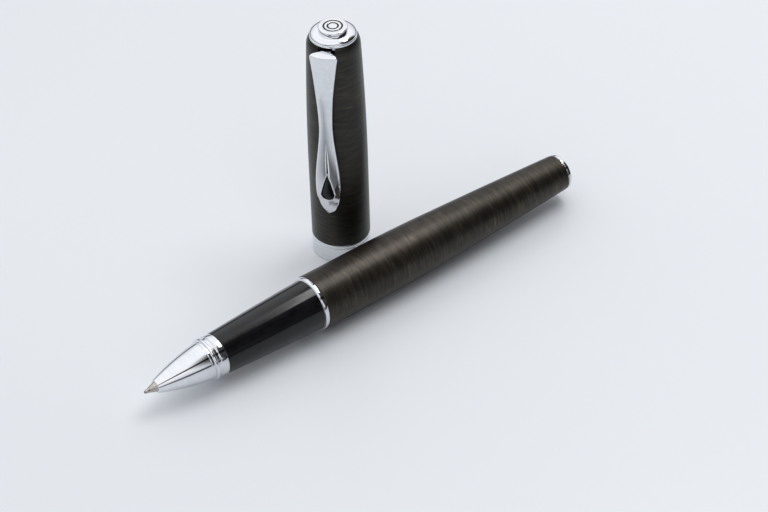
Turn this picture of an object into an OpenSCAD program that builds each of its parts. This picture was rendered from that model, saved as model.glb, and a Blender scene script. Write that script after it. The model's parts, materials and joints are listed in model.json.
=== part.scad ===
// Rollerball pen lying on its barrel, with its push-on cap standing beside it on its mouth.
// Millimetres, +Z up, table at z = 0. The pen lies along X with its writing tip towards -X.
// Lengths along the pen are measured from the ball, and heights in the cap from its mouth.

/* [Overall] */
// Length of the pen without its cap, from ball to tail
pen_length = 122; // [105:1:150]
// Radius of the barrel at its thickest
barrel_r = 6.67; // [5.6:0.01:8.5]
// Distance along the pen from the ball to the centre of the standing cap
cap_stands_at = 68.8; // [20:0.1:100]
// Gap on the table between the barrel and the mouth of the cap
cap_gap = 5.15; // [3:0.05:40]
// Direction in which the clip faces, turned from +X about the upright cap
clip_angle = 216; // [0:1:359]

/* [Nose] */
// Length of the refill's tip that shows in front of the nose cone
exposed_tip = 3; // [2.4:0.1:4]
// Length of the metal nose cone
nose_length = 12.4; // [10:0.1:16]
// Radius of the nose cone at its opening
nose_tip_r = 1.55; // [1.5:0.01:1.9]
// Radius of the nose cone at its rear edge
nose_rear_r = 4.54; // [4.4:0.01:5]
// How far the side of the nose cone swells beyond a straight taper
nose_swell = 0.37; // [0:0.01:0.6]
// Length of the narrow band at the front of the snap ring
snap_band = 0.72; // [0.4:0.01:1.2]
// Length of the raised bead that the cap snaps over
snap_bead = 0.8; // [0.6:0.01:1.2]
// Radius of the raised bead
snap_bead_r = 5.15; // [5.05:0.01:5.4]
// Length of the valley behind the bead
snap_valley = 0.9; // [0.8:0.01:1.4]
// Radius in the valley behind the bead
snap_valley_r = 4.7; // [4.5:0.01:4.8]
// Length of the wide collar that meets the grip
collar_length = 1.62; // [1:0.01:3]

/* [Grip] */
// Length of the resin grip
grip_length = 25.7; // [22:0.1:34]
// Radius of the grip at its front edge
grip_front_r = 4.96; // [4.9:0.01:5.3]
// Radius of the grip at its rear edge
grip_rear_r = 6.11; // [5.6:0.01:7.4]
// How far the grip swells beyond a straight taper
grip_swell = 0.09; // [0:0.01:0.3]
// Length of the chrome ring behind the grip
rear_ring_length = 1.06; // [0.8:0.01:3]
// Least height by which the chrome ring stands out from the grip's rear edge
rear_ring_rise = 0.47; // [0.2:0.01:0.6]

/* [Barrel] */
// Length of the straight stretch of the barrel behind the ring
barrel_straight = 15.8; // [15:0.1:24]
// Length over which the straight stretch blends into the taper
barrel_blend = 22; // [10:0.1:30]
// Radius of the barrel at its tail
barrel_tail_r = 4.5; // [4.4:0.01:5.4]
// How far the tapered stretch swells beyond a straight cone
barrel_crown = 0.06; // [0:0.01:0.3]
// Wall of the barrel
barrel_wall = 0.75; // [0.5:0.01:1]
// Length of the chrome end cap at the tail
tail_cap_length = 1.28; // [1:0.01:4]

/* [Screw joint] */
// Pitch of the thread between barrel and section
thread_pitch = 1; // [0.5:0.05:1.5]
// Number of turns of thread in engagement
thread_turns = 5; // [4:1:7]
// Depth of the thread
thread_depth = 0.45; // [0.3:0.01:0.6]
// Length of the plain land that centres the barrel in front of the thread
land_length = 2.5; // [2:0.1:4]
// Radial wall of the brass insert around the plain land
insert_wall = 0.57; // [0.4:0.01:0.8]

/* [Refill] */
// Radius of the refill's body
refill_r = 3.05; // [2.6:0.01:3.7]
// Radius of the writing ball
ball_r = 0.35; // [0.25:0.01:0.5]
// Wall of the refill's body
refill_wall = 0.3; // [0.2:0.01:0.5]
// Length of the spring behind the refill
spring_length = 4.7; // [4:0.1:12]
// Radius of the spring's wire
spring_wire_r = 0.25; // [0.15:0.01:0.4]
// Number of coils in the spring
spring_coils = 5; // [3:1:8]

/* [Cap] */
// Wall of the cap's tube
cap_wall = 0.69; // [0.5:0.01:1]
// Height of the chrome ring at the cap's mouth
lip_height = 4.98; // [3:0.01:8]
// Height up to which the cap's tube is straight
cap_straight = 24; // [10:0.1:30]
// How much the radius narrows from the straight part to the shoulder
cap_taper = 0.82; // [0.4:0.01:1]
// Height of the rounded shoulder under the finial
shoulder_height = 2; // [1:0.1:3]
// How much the shoulder rounds in
shoulder_drop = 0.53; // [0.2:0.01:0.6]
// Free length in the cap in front of the ball
tip_room = 2.1; // [1.8:0.1:4]
// Height of the finial, from the top of the tube to the top of its disc
finial_height = 2.47; // [2:0.01:5]
// Radius of the flat disc on the finial
finial_disc_r = 3.37; // [2.5:0.01:4]
// Number of spring fingers in the inner cap
finger_count = 6; // [4:1:8]

/* [Clip] */
// Length of the clip, from its head to its point
clip_length = 44.3; // [36:0.1:50]
// Width of the clip's head
clip_head_w = 6.5; // [5:0.1:8]
// Width of the clip at its narrowest
clip_waist_w = 3.1; // [2.4:0.1:4]
// Width of the drop-shaped end of the clip
clip_drop_w = 5.7; // [4.6:0.1:7]
// Thickness of the clip's arm
clip_thickness = 1.2; // [0.9:0.05:1.8]
// Clear gap between the cap's tube and the inside of the clip's arm
clip_gap = 0.75; // [0.5:0.05:1.5]
// Width of the tongue that goes into the cap
tongue_w = 3.2; // [2.4:0.1:4]
// Radius of the clip's pivot pin
pivot_r = 0.45; // [0.3:0.01:0.6]

/* [Clearances] */
// Radial clearance between the refill and its bore
refill_clearance = 0.08; // [0.05:0.01:0.1]
// Radial clearance of the barrel on its plain land
land_clearance = 0.05; // [0.02:0.01:0.1]
// Radial clearance between the grip's rear edge and the cap's mouth
mouth_clearance = 0.13; // [0.05:0.01:0.4]
// Radial clearance of the clip on its pivot pin
pivot_clearance = 0.04; // [0.01:0.01:0.1]
// Clearance at each side of the clip's tongue
tongue_clearance = 0.2; // [0.1:0.01:0.4]
// Small gap between pieces that turn or slide past each other face to face
face_gap = 0.06; // [0.02:0.01:0.2]

/* [Hidden] */

// smoothness of curved outlines
round_fn = 96;
outline_steps = 24;

// stations along the pen, measured from the ball
nose_at = exposed_tip;
snap_at = nose_at + nose_length;
collar_at = snap_at + snap_band + snap_bead;
grip_at = collar_at + snap_valley + collar_length;
rear_ring_at = grip_at + grip_length;
barrel_at = rear_ring_at + rear_ring_length;
tail_cap_at = pen_length - tail_cap_length;
tail_plug_length = 3.5;
tail_plug_at = tail_cap_at - tail_plug_length;
seat_length = 1.5;
seat_at = tail_plug_at - face_gap - seat_length;
refill_length = seat_at - spring_length;
tip_flange = 1.3;
tip_tail = 3;
end_plug_lip = 1;
feed_inset = 0.6;
feed_overlap = 20;

// radii around the refill, from the refill outwards
refill_bore_r = refill_r + refill_clearance;
refill_neck_step = 0.75;
refill_neck_r = refill_r - refill_neck_step;
nose_lip = 0.35;
refill_shaft_r = nose_tip_r - nose_lip;
neck_bore_r = refill_neck_r + refill_clearance;
shaft_bore_r = refill_shaft_r + refill_clearance;
spigot_wall = 0.42;
spigot_r = refill_bore_r + spigot_wall;
core_wall = 1;
core_r = refill_bore_r + core_wall;
insert_r = barrel_r - barrel_wall;
land_bore_r = insert_r - insert_wall;
land_r = land_bore_r - land_clearance;
thread_relief = 0.35;
thread_crest_r = land_r - thread_relief;
thread_root_r = thread_crest_r - thread_depth;
rear_ring_r = max(grip_rear_r + rear_ring_rise, barrel_r - barrel_wall / 2);
tail_bore_r = barrel_tail_r - barrel_wall;
tail_stud_r = 1.25;
tail_stud_length = 2.4;

// stations inside the section
shaft_end = nose_at + 6.2;
spigot_at = snap_at - 3;
shoulder_at = snap_at + 1.6;
core_step = grip_at + 1;
land_at = barrel_at;
thread_at = land_at + land_length;
thread_end = thread_at + thread_pitch * thread_turns + 0.5;
insert_at = barrel_at + 0.4;
insert_end = thread_end + 2;

// heights in the cap, from its mouth
cap_bore_r = grip_rear_r + mouth_clearance;
cap_r = cap_bore_r + cap_wall;
mouth_ring_rise = 0.03;
mouth_ring_r = cap_r + mouth_ring_rise;
mouth_floor = 1;
mouth_lap_r = cap_bore_r + cap_wall / 2;
screw_head_height = 1.1;
inner_cap_wall = 0.5;
inner_cap_floor = 1.4;
inner_cap_boss = 5.35;
inner_cap_head = 4;
carrier_height = 6.4;
inner_floor_at = rear_ring_at + tip_room;
boss_at = inner_floor_at + inner_cap_floor;
carrier_at = boss_at + inner_cap_boss;
tube_top = carrier_at + carrier_height;
shoulder_from = tube_top - shoulder_height;
cap_height = tube_top + finial_height;
finger_end = rear_ring_at - (collar_at + snap_valley) - 0.7;
snap_at_height = rear_ring_at - (collar_at + snap_valley / 2);
snap_bump = 0.6;
finger_bore_r = snap_bead_r + 0.15;
snap_bump_r = snap_valley_r + 0.15;
inner_cap_r = cap_outline_r(boss_at) - cap_wall - 0.06;
carrier_r = cap_outline_r(tube_top) - cap_wall - 0.05;
finial_r = cap_outline_r(tube_top) - 0.07;
finial_band = 0.5;
disc_height = 1.3;
disc_at = cap_height - disc_height;
cap_screw_r = 1.25;
screw_reach = 1;

// the clip, in the cap's frame with +X facing out through the clip
clip_top = tube_top - 0.4;
clip_bottom = clip_top - clip_length;
clip_inner_x = cap_r + clip_gap;
clip_outer_x = clip_inner_x + clip_thickness;
clip_waist_at = clip_top - 19;
drop_centre_at = clip_bottom + 8.8;
pivot_x = carrier_r - 1.7;
pivot_at = tube_top - 1.5;
hub_r = pivot_r + 0.5;
tongue_height = 0.95;
tongue_at = pivot_at + 0.05;
slot_at = tongue_at - 0.3;
inlay_r = 1.7;
inlay_at = drop_centre_at - 2.6;
inlay_point = 5.9;
inlay_depth = 0.45;

// where the pen and the cap stand: the origin is on the table under the middle of both
cap_axis_from_pen = barrel_r + cap_gap + mouth_ring_r;
pen_y = (barrel_r - cap_axis_from_pen - mouth_ring_r) / 2;
pen_x = -pen_length / 2;
cap_x = pen_x + cap_stands_at;
cap_y = pen_y + cap_axis_from_pen;

// ---------------------------------------------------------------- outlines

// radius of the nose cone at a station along the pen
function nose_outline_r(s) =
    let (t = (s - nose_at) / nose_length)
    nose_tip_r + (nose_rear_r - nose_tip_r) * t + 4 * nose_swell * t * (1 - t);

// radius of the grip at a station along the pen
function grip_outline_r(s) =
    let (t = (s - grip_at) / grip_length)
    grip_front_r + (grip_rear_r - grip_front_r) * t + 4 * grip_swell * t * (1 - t);

// radius of the barrel: straight, then a blend into a slightly crowned taper
function barrel_outline_r(s) =
    let (
        taper_from = barrel_at + barrel_straight + barrel_blend,
        taper = tail_cap_at - taper_from,
        slope = (barrel_r - barrel_tail_r) / (barrel_blend / 2 + taper),
        u = s - barrel_at - barrel_straight,
        t = (s - taper_from) / taper
    )
    u <= 0 ? barrel_r
    : u <= barrel_blend ? barrel_r - slope * u * u / (2 * barrel_blend)
    : barrel_r - slope * (u - barrel_blend / 2) + 4 * barrel_crown * t * (1 - t);

// radius of the barrel's bore, which follows its outside and narrows to hold the tail plug
function barrel_bore_r(s) = max(barrel_outline_r(s) - barrel_wall, tail_bore_r);

// radius of the cap's tube: straight, a long taper, then a rounded shoulder
function cap_outline_r(z) =
    let (
        u = max(z - cap_straight, 0) / (shoulder_from - cap_straight),
        v = max(z - shoulder_from, 0) / shoulder_height
    )
    cap_r - cap_taper * u * u - shoulder_drop * v * v;

// half the width of the clip at a height
function clip_half_width(z) =
    z >= clip_waist_at
    ? let (t = (z - clip_waist_at) / (clip_top - clip_waist_at))
        (clip_waist_w + (clip_head_w - clip_waist_w) * pow(t, 1.7)) / 2
    : z >= drop_centre_at
    ? let (t = (clip_waist_at - z) / (clip_waist_at - drop_centre_at))
        (clip_waist_w + (clip_drop_w - clip_waist_w) * t * t * (3 - 2 * t)) / 2
    : let (t = (drop_centre_at - z) / (drop_centre_at - clip_bottom))
        clip_drop_w / 2 * sqrt(max(1 - t * t, 0));

// points [radius, station] of an outline between two stations
function outline(f, from, to, steps = outline_steps) =
    [for (i = [0:steps]) let (s = from + (to - from) * i / steps) [f(s), s]];

// points on an arc, for rounded edges
function arc(centre, r, from, to, steps = 6) =
    [for (i = [0:steps]) let (a = from + (to - from) * i / steps) centre + r * [cos(a), sin(a)]];

// ---------------------------------------------------------------- placing and turning

// stands the local Z axis along the pen, starting at the ball
module along_pen() {
    translate([pen_x, pen_y, barrel_r]) rotate([0, 90, 0]) children();
}

// stands the local Z axis in the cap, with +X facing out through the clip
module in_cap() {
    translate([cap_x, cap_y, 0]) rotate([0, 0, clip_angle]) children();
}

// a solid of revolution from points [radius, station]
module turned(points) {
    rotate_extrude($fn = round_fn) polygon(points);
}

// a plain round rod or tube from one station to another
module rod(r, from, to) {
    translate([0, 0, from]) cylinder(h = to - from, r = r, $fn = round_fn);
}

// a bore cut a little past both of its ends
module bore(r, from, to, past = 0.01) {
    rod(r, from - past, to + past);
}

// a coil spring along Z, from the middle of its first wire to the middle of its last
module coil(coil_r, wire_r, from, to, coils, sides = 8, per_turn = 18) {
    steps = coils * per_turn;
    rings = [
        for (i = [0:steps])
            let (a = 360 * i / per_turn, z = from + (to - from) * i / steps)
            [for (j = [0:sides - 1])
                let (b = 360 * j / sides, r = coil_r + wire_r * cos(b))
                [r * cos(a), r * sin(a), z + wire_r * sin(b)]]
    ];
    walls = [
        for (i = [0:steps - 1], j = [0:sides - 1])
            let (k = (j + 1) % sides)
            [i * sides + j, (i + 1) * sides + j, (i + 1) * sides + k, i * sides + k]
    ];
    first = [for (j = [0:sides - 1]) j];
    last = [for (j = [sides - 1:-1:0]) steps * sides + j];
    polyhedron([for (ring = rings) each ring], concat(walls, [first, last]), convexity = 10);
}

// ---------------------------------------------------------------- section: nose, rings and grip

module nose_cone() {
    color("gainsboro") along_pen() difference() {
        turned(concat(
            [[0, nose_at]],
            arc([nose_tip_r - 0.12, nose_at + 0.12], 0.12, -90, -20),
            outline(function(s) nose_outline_r(s), nose_at + 0.2, snap_at),
            [[0, snap_at]]
        ));
        bore(shaft_bore_r, nose_at, shaft_end);
        bore(neck_bore_r, shaft_end, spigot_at);
        bore(spigot_r, spigot_at, snap_at);
    }
}

module snap_ring() {
    groove = 0.13;
    band_r = nose_rear_r + 0.14;
    bead_mid = snap_at + snap_band + snap_bead / 2;
    color("gainsboro") along_pen() difference() {
        turned(concat(
            [
                [0, snap_at], [band_r - groove, snap_at], [band_r - groove, snap_at + groove],
                [band_r, snap_at + groove], [band_r, snap_at + snap_band - groove],
                [band_r - groove, snap_at + snap_band - groove], [band_r - groove, snap_at + snap_band]
            ],
            arc([snap_bead_r - snap_bead / 2, bead_mid], snap_bead / 2, -80, 80, 10),
            [[snap_valley_r - 0.1, collar_at], [0, collar_at]]
        ));
        bore(spigot_r, snap_at, collar_at);
    }
}

module grip_collar() {
    edge = 0.12;
    wide_at = collar_at + snap_valley;
    collar_r = grip_front_r + 0.06;
    color("gainsboro") along_pen() difference() {
        turned(concat(
            [[0, collar_at], [snap_valley_r, collar_at], [snap_valley_r, wide_at]],
            arc([collar_r - edge, wide_at + edge], edge, -90, 0),
            arc([collar_r - edge, grip_at - edge], edge, 0, 90),
            [[0, grip_at]]
        ));
        bore(spigot_r, collar_at, grip_at);
    }
}

module grip_sleeve() {
    edge = 0.15;
    color([0.03, 0.03, 0.035]) along_pen() difference() {
        turned(concat(
            [[0, grip_at]],
            arc([grip_front_r - edge, grip_at + edge], edge, -90, -10),
            outline(function(s) grip_outline_r(s), grip_at + edge, rear_ring_at - edge),
            arc([grip_rear_r - edge, rear_ring_at - edge], edge, 10, 90),
            [[0, rear_ring_at]]
        ));
        bore(spigot_r, grip_at, core_step);
        bore(core_r, core_step, rear_ring_at);
    }
}

module section_core() {
    color("darkgoldenrod") along_pen() difference() {
        union() {
            rod(spigot_r, spigot_at, core_step + 0.01);
            rod(core_r, core_step, land_at + 0.01);
            rod(land_r, land_at, thread_at);
            rod(thread_root_r, thread_at - 0.01, thread_end);
        }
        bore(neck_bore_r, spigot_at, shoulder_at);
        bore(refill_bore_r, shoulder_at, thread_end);
    }
}

module grip_rear_ring() {
    edge = 0.3;
    color("gainsboro") along_pen() difference() {
        turned(concat(
            [[0, rear_ring_at]],
            arc([rear_ring_r - edge, rear_ring_at + edge], edge, -90, 0),
            arc([rear_ring_r - edge, barrel_at - edge], edge, 0, 90),
            [[0, barrel_at]]
        ));
        bore(core_r, rear_ring_at, barrel_at);
    }
}

// ---------------------------------------------------------------- barrel

module barrel_tube() {
    edge = 0.12;
    straight_end = barrel_at + barrel_straight;
    color([0.2, 0.17, 0.14]) along_pen() difference() {
        turned(concat(
            [[0, barrel_at], [barrel_r - edge, barrel_at], [barrel_r, barrel_at + edge]],
            outline(function(s) barrel_outline_r(s), straight_end, tail_cap_at, 2 * outline_steps),
            [[0, tail_cap_at]]
        ));
        turned(concat(
            [[0, barrel_at - 1], [insert_r, barrel_at - 1]],
            outline(function(s) barrel_bore_r(s), straight_end, tail_plug_at, 2 * outline_steps),
            [[0, tail_plug_at]]
        ));
        bore(tail_bore_r, tail_plug_at - 0.5, tail_cap_at);
    }
}

module barrel_thread_insert() {
    color("darkgoldenrod") along_pen() difference() {
        rod(insert_r, insert_at, insert_end);
        bore(land_bore_r, insert_at, thread_at + face_gap);
        bore(thread_crest_r + land_clearance, thread_at, insert_end);
    }
}

module barrel_tail_plug() {
    color("darkgoldenrod") along_pen() difference() {
        rod(tail_bore_r, tail_plug_at, tail_cap_at);
        bore(tail_stud_r, tail_cap_at - tail_stud_length - 0.3, tail_cap_at);
    }
}

module barrel_tail_cap() {
    edge = 0.45;
    cap_end_r = barrel_tail_r - 0.02;
    color("gainsboro") along_pen() union() {
        turned(concat(
            [[0, tail_cap_at], [cap_end_r - 0.1, tail_cap_at], [cap_end_r, tail_cap_at + 0.1]],
            arc([cap_end_r - edge, pen_length - edge], edge, 0, 90),
            [[0, pen_length]]
        ));
        rod(tail_stud_r, tail_cap_at - tail_stud_length, tail_cap_at + 0.01);
    }
}

module refill_spring() {
    color("silver") along_pen()
        coil(
            refill_r - 2 * spring_wire_r - 0.2, spring_wire_r,
            refill_length + spring_wire_r + face_gap, seat_at - spring_wire_r - face_gap, spring_coils
        );
}

module spring_seat() {
    color("ivory") along_pen() {
        rod(tail_bore_r - 0.25, seat_at, seat_at + seat_length);
        rod(refill_r - 3 * spring_wire_r - 0.6, refill_length + spring_length / 2, seat_at + 0.01);
    }
}

// ---------------------------------------------------------------- refill

module writing_ball() {
    color("dimgray") along_pen() translate([0, 0, ball_r]) sphere(r = ball_r, $fn = 48);
}

module refill_tip() {
    socket_r = ball_r + 0.03;
    rim_at = ball_r * 1.35;
    tip_end = shaft_end + tip_flange + tip_tail;
    color("silver") along_pen() difference() {
        union() {
            turned([
                [0, rim_at], [ball_r + 0.1, rim_at], [refill_shaft_r, nose_at + 0.1],
                [refill_shaft_r, shaft_end + 0.05], [refill_neck_r, shaft_end + 0.05],
                [refill_neck_r, shaft_end + tip_flange], [0, shaft_end + tip_flange]
            ]);
            rod(refill_neck_r - refill_wall * 2, shaft_end + tip_flange - 0.01, tip_end);
        }
        translate([0, 0, ball_r]) sphere(r = socket_r, $fn = 48);
        bore(ball_r * 0.5, ball_r, nose_at);
        bore(refill_shaft_r - 0.45, nose_at, tip_end);
    }
}

module refill_body() {
    front = shaft_end + tip_flange;
    color("whitesmoke") along_pen() difference() {
        union() {
            rod(refill_neck_r, front, shoulder_at + 0.01);
            rod(refill_r, shoulder_at, refill_length - end_plug_lip);
        }
        bore(refill_neck_r - refill_wall * 2, front, shoulder_at + 0.8);
        bore(refill_r - refill_wall, shoulder_at + 0.8, refill_length - end_plug_lip);
    }
}

module refill_feed() {
    color("white") along_pen() rod(refill_shaft_r - feed_inset, nose_at + 0.5, shoulder_at + feed_overlap);
}

module ink_reservoir() {
    reservoir_r = refill_r - refill_wall - 0.05;
    from = shoulder_at + 3;
    color([0.12, 0.12, 0.3]) along_pen() difference() {
        rod(reservoir_r, from, refill_length - 5);
        bore(refill_shaft_r - feed_inset, from, shoulder_at + feed_overlap);
    }
}

module refill_end_plug() {
    color([0.15, 0.15, 0.16]) along_pen() {
        rod(refill_r - refill_wall, refill_length - 4, refill_length - end_plug_lip + 0.01);
        rod(refill_r, refill_length - end_plug_lip, refill_length);
    }
}

// ---------------------------------------------------------------- cap

// the outside of the cap's tube, grown all round by a margin
module cap_envelope(margin, from, to) {
    turned(concat(
        [[0, from]],
        outline(function(z) cap_outline_r(z) + margin, from, to, 2 * outline_steps),
        [[0, to]]
    ));
}

// an upright slot that opens outwards, for the clip's tongue
module tongue_slot(from_x, from_z) {
    width = tongue_w + 2 * tongue_clearance;
    translate([from_x, -width / 2, from_z]) cube([cap_r, width, tube_top - from_z + 1]);
}

module cap_tube() {
    color([0.2, 0.17, 0.14]) in_cap() difference() {
        union() {
            cap_envelope(0, lip_height, tube_top);
            rod(mouth_lap_r, mouth_floor, lip_height + 0.01);
        }
        turned(concat(
            [[0, 0], [cap_bore_r, 0]],
            outline(function(z) cap_outline_r(z) - cap_wall, cap_straight, tube_top),
            [[carrier_r, tube_top + 1], [0, tube_top + 1]]
        ));
        tongue_slot(carrier_r - 0.5, slot_at);
    }
}

module cap_mouth_ring() {
    bead = 0.78;
    groove = 0.1;
    edge = 0.25;
    color("gainsboro") in_cap() difference() {
        turned(concat(
            [[0, 0]],
            arc([mouth_ring_r - edge, edge], edge, -90, 0),
            [
                [mouth_ring_r, lip_height - bead - groove],
                [mouth_ring_r - groove, lip_height - bead - groove],
                [mouth_ring_r - groove, lip_height - bead]
            ],
            arc([mouth_ring_r - edge, lip_height - bead + edge], edge, -60, 0),
            arc([mouth_ring_r - edge, lip_height - edge], edge, 0, 60),
            [[mouth_lap_r, lip_height], [0, lip_height]]
        ));
        bore(cap_bore_r, 0, mouth_floor);
        bore(mouth_lap_r, mouth_floor, lip_height);
    }
}

module inner_cap() {
    slot_w = 0.8;
    slot_length = 9;
    color("dimgray") in_cap() difference() {
        union() {
            rod(finger_bore_r + inner_cap_wall, finger_end, boss_at - inner_cap_head + 1);
            rod(inner_cap_r, boss_at - inner_cap_head, boss_at);
            rod(cap_screw_r + 1.4, boss_at - 0.01, carrier_at);
        }
        bore(finger_bore_r, finger_end, snap_at_height - snap_bump / 2);
        bore(snap_bump_r, finger_end, snap_at_height + snap_bump);
        bore(finger_bore_r, snap_at_height + snap_bump / 2, inner_floor_at, 0);
        bore(cap_screw_r, inner_floor_at, carrier_at);
        for (i = [0:finger_count - 1])
            rotate([0, 0, 360 * (i + 0.5) / finger_count])
                translate([0, -slot_w / 2, finger_end - 1])
                    cube([cap_r, slot_w, slot_length + 1]);
    }
}

module cap_screw() {
    color("silver") in_cap() difference() {
        union() {
            rod(cap_screw_r + 0.9, inner_floor_at - screw_head_height, inner_floor_at);
            rod(cap_screw_r, inner_floor_at - 0.01, tube_top + screw_reach);
        }
        translate([0, 0, inner_floor_at - screw_head_height])
            cube([0.5, 2 * cap_r, 1], center = true);
    }
}

module clip_carrier() {
    color("dimgray") in_cap() difference() {
        rod(carrier_r, carrier_at, tube_top);
        bore(cap_screw_r, carrier_at, tube_top);
        tongue_slot(pivot_x - hub_r - 0.1, carrier_at + 1.6);
        translate([pivot_x, 0, pivot_at]) rotate([90, 0, 0])
            cylinder(h = 4 * carrier_r, r = pivot_r, center = true, $fn = round_fn);
    }
}

module clip_pivot_pin() {
    half = sqrt(carrier_r * carrier_r - pivot_x * pivot_x) - 0.25;
    color("silver") in_cap() translate([pivot_x, 0, pivot_at]) rotate([90, 0, 0])
        cylinder(h = 2 * half, r = pivot_r, center = true, $fn = round_fn);
}

module cap_finial() {
    rise = disc_at + 0.3 - tube_top - finial_band;
    color("gainsboro") in_cap() difference() {
        turned(concat(
            [[0, tube_top], [finial_r - 0.1, tube_top], [finial_r, tube_top + 0.1]],
            [for (i = [0:10])
                let (a = 90 * i / 10)
                [
                    finial_disc_r + (finial_r - finial_disc_r) * cos(a),
                    tube_top + finial_band + rise * sin(a)
                ]],
            [[0, tube_top + finial_band + rise]]
        ));
        bore(finial_disc_r, disc_at, cap_height, 0);
        bore(cap_screw_r, tube_top, tube_top + screw_reach - 0.01);
    }
}

module finial_disc() {
    edge = 0.2;
    ring_depth = 0.1;
    color("white") in_cap() difference() {
        turned(concat(
            [[0, disc_at], [finial_disc_r, disc_at]],
            arc([finial_disc_r - edge, cap_height - edge], edge, 0, 90),
            [[0, cap_height]]
        ));
        for (ring_r = [finial_disc_r * 0.35, finial_disc_r * 0.62])
            translate([0, 0, cap_height - ring_depth]) difference() {
                cylinder(h = 1, r = ring_r + 0.13, $fn = round_fn);
                translate([0, 0, -1]) cylinder(h = 3, r = ring_r - 0.13, $fn = round_fn);
            }
    }
}

// ---------------------------------------------------------------- clip

// side outline of the clip in X and Z: a folded head, a long arm and a rounded drop
module clip_side() {
    head_drop = 3.2;
    toe_x = cap_r + 0.15;
    polygon(concat(
        [[cap_outline_r(clip_top), clip_top], [clip_outer_x - 0.7, clip_top]],
        arc([clip_outer_x - 0.7, clip_top - 0.9], 0.9, 90, 10),
        [
            [clip_outer_x, clip_waist_at], [clip_outer_x - 0.1, drop_centre_at + 6],
            [clip_outer_x, drop_centre_at], [clip_outer_x - 0.25, clip_bottom + 3],
            [clip_outer_x - 1, clip_bottom], [toe_x + 0.3, clip_bottom + 0.4],
            [toe_x, clip_bottom + 3], [toe_x + 0.2, clip_bottom + 5.5],
            [clip_inner_x - 0.1, drop_centre_at + 4], [clip_inner_x, clip_waist_at],
            [clip_inner_x, clip_top - head_drop - 1.5],
            [clip_inner_x - 0.5, clip_top - head_drop + 0.5],
            [cap_outline_r(clip_top), clip_top - head_drop + 1.6]
        ]
    ));
}

// front outline of the clip in Y and Z
module clip_front() {
    steps = 60;
    heights = [for (i = [0:steps]) clip_top - clip_length * (1 - cos(180 * i / steps)) / 2];
    right = [for (z = heights) [clip_half_width(z), z]];
    left = [for (i = [steps - 1:-1:0]) [-clip_half_width(heights[i]), heights[i]]];
    polygon(concat(right, left));
}

// a drop shape in Y and Z: a round end with two tangents that meet in a point above it
module drop_outline(r, point) {
    a = acos(r / point);
    polygon(concat([[0, point]], arc([0, 0], r, 90 - a, a - 270, 24)));
}

module clip() {
    // radius of the clip's face across its width
    front_r = 11;
    color("gainsboro") in_cap() difference() {
        union() {
            difference() {
                intersection() {
                    rotate([90, 0, 0]) linear_extrude(2 * clip_head_w, center = true) clip_side();
                    rotate([90, 0, 90]) linear_extrude(2 * clip_outer_x) clip_front();
                    translate([clip_outer_x - front_r, 0, clip_bottom - 1])
                        cylinder(h = clip_length + 2, r = front_r, $fn = round_fn);
                }
                cap_envelope(0.12, clip_bottom - 1, tube_top);
            }
            translate([pivot_x, -tongue_w / 2, tongue_at])
                cube([clip_inner_x - pivot_x, tongue_w, tongue_height]);
            translate([pivot_x, 0, pivot_at]) rotate([90, 0, 0])
                cylinder(h = tongue_w, r = hub_r, center = true, $fn = round_fn);
        }
        translate([pivot_x, 0, pivot_at]) rotate([90, 0, 0])
            cylinder(h = 2 * tongue_w, r = pivot_r + pivot_clearance, center = true, $fn = round_fn);
        translate([clip_outer_x - inlay_depth, 0, inlay_at]) rotate([90, 0, 90])
            linear_extrude(2) drop_outline(inlay_r, inlay_point);
    }
}

module clip_inlay() {
    color([0.02, 0.02, 0.025]) in_cap()
        translate([clip_outer_x - inlay_depth, 0, inlay_at]) rotate([90, 0, 90])
            linear_extrude(inlay_depth - 0.1) drop_outline(inlay_r, inlay_point);
}

// a bent leaf that bears on the heel of the clip and the inside of the cap's tube
module clip_spring() {
    leaf_r = 1.2;
    leaf = 0.16;
    color("silver") in_cap()
        translate([pivot_x + 0.35, 0, pivot_at - hub_r - leaf_r - 0.1]) rotate([90, 0, 0])
            difference() {
                cylinder(h = tongue_w - 0.6, r = leaf_r, center = true, $fn = round_fn);
                cylinder(h = tongue_w, r = leaf_r - leaf, center = true, $fn = round_fn);
                translate([0, -leaf_r, 0]) cube([leaf_r, 2 * leaf_r, 2 * tongue_w], center = true);
            }
}

nose_cone();
snap_ring();
grip_collar();
grip_sleeve();
section_core();
grip_rear_ring();
barrel_tube();
barrel_thread_insert();
barrel_tail_plug();
barrel_tail_cap();
refill_spring();
spring_seat();
writing_ball();
refill_tip();
refill_body();
refill_feed();
ink_reservoir();
refill_end_plug();
cap_tube();
cap_mouth_ring();
inner_cap();
cap_screw();
cap_finial();
finial_disc();
clip_carrier();
clip_pivot_pin();
clip_spring();
clip();
clip_inlay();
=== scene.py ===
"""Looks of a rollerball pen lying beside its standing cap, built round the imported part.

Lengths are in metres in the part's own frame: +Z up, +X along the pen from its writing tip.
"""

import json
import logging
import math
from dataclasses import dataclass, field
from enum import Enum
from typing import Callable, Iterable, Sequence

import bmesh
import bpy
from mathutils import Matrix, Vector


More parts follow.
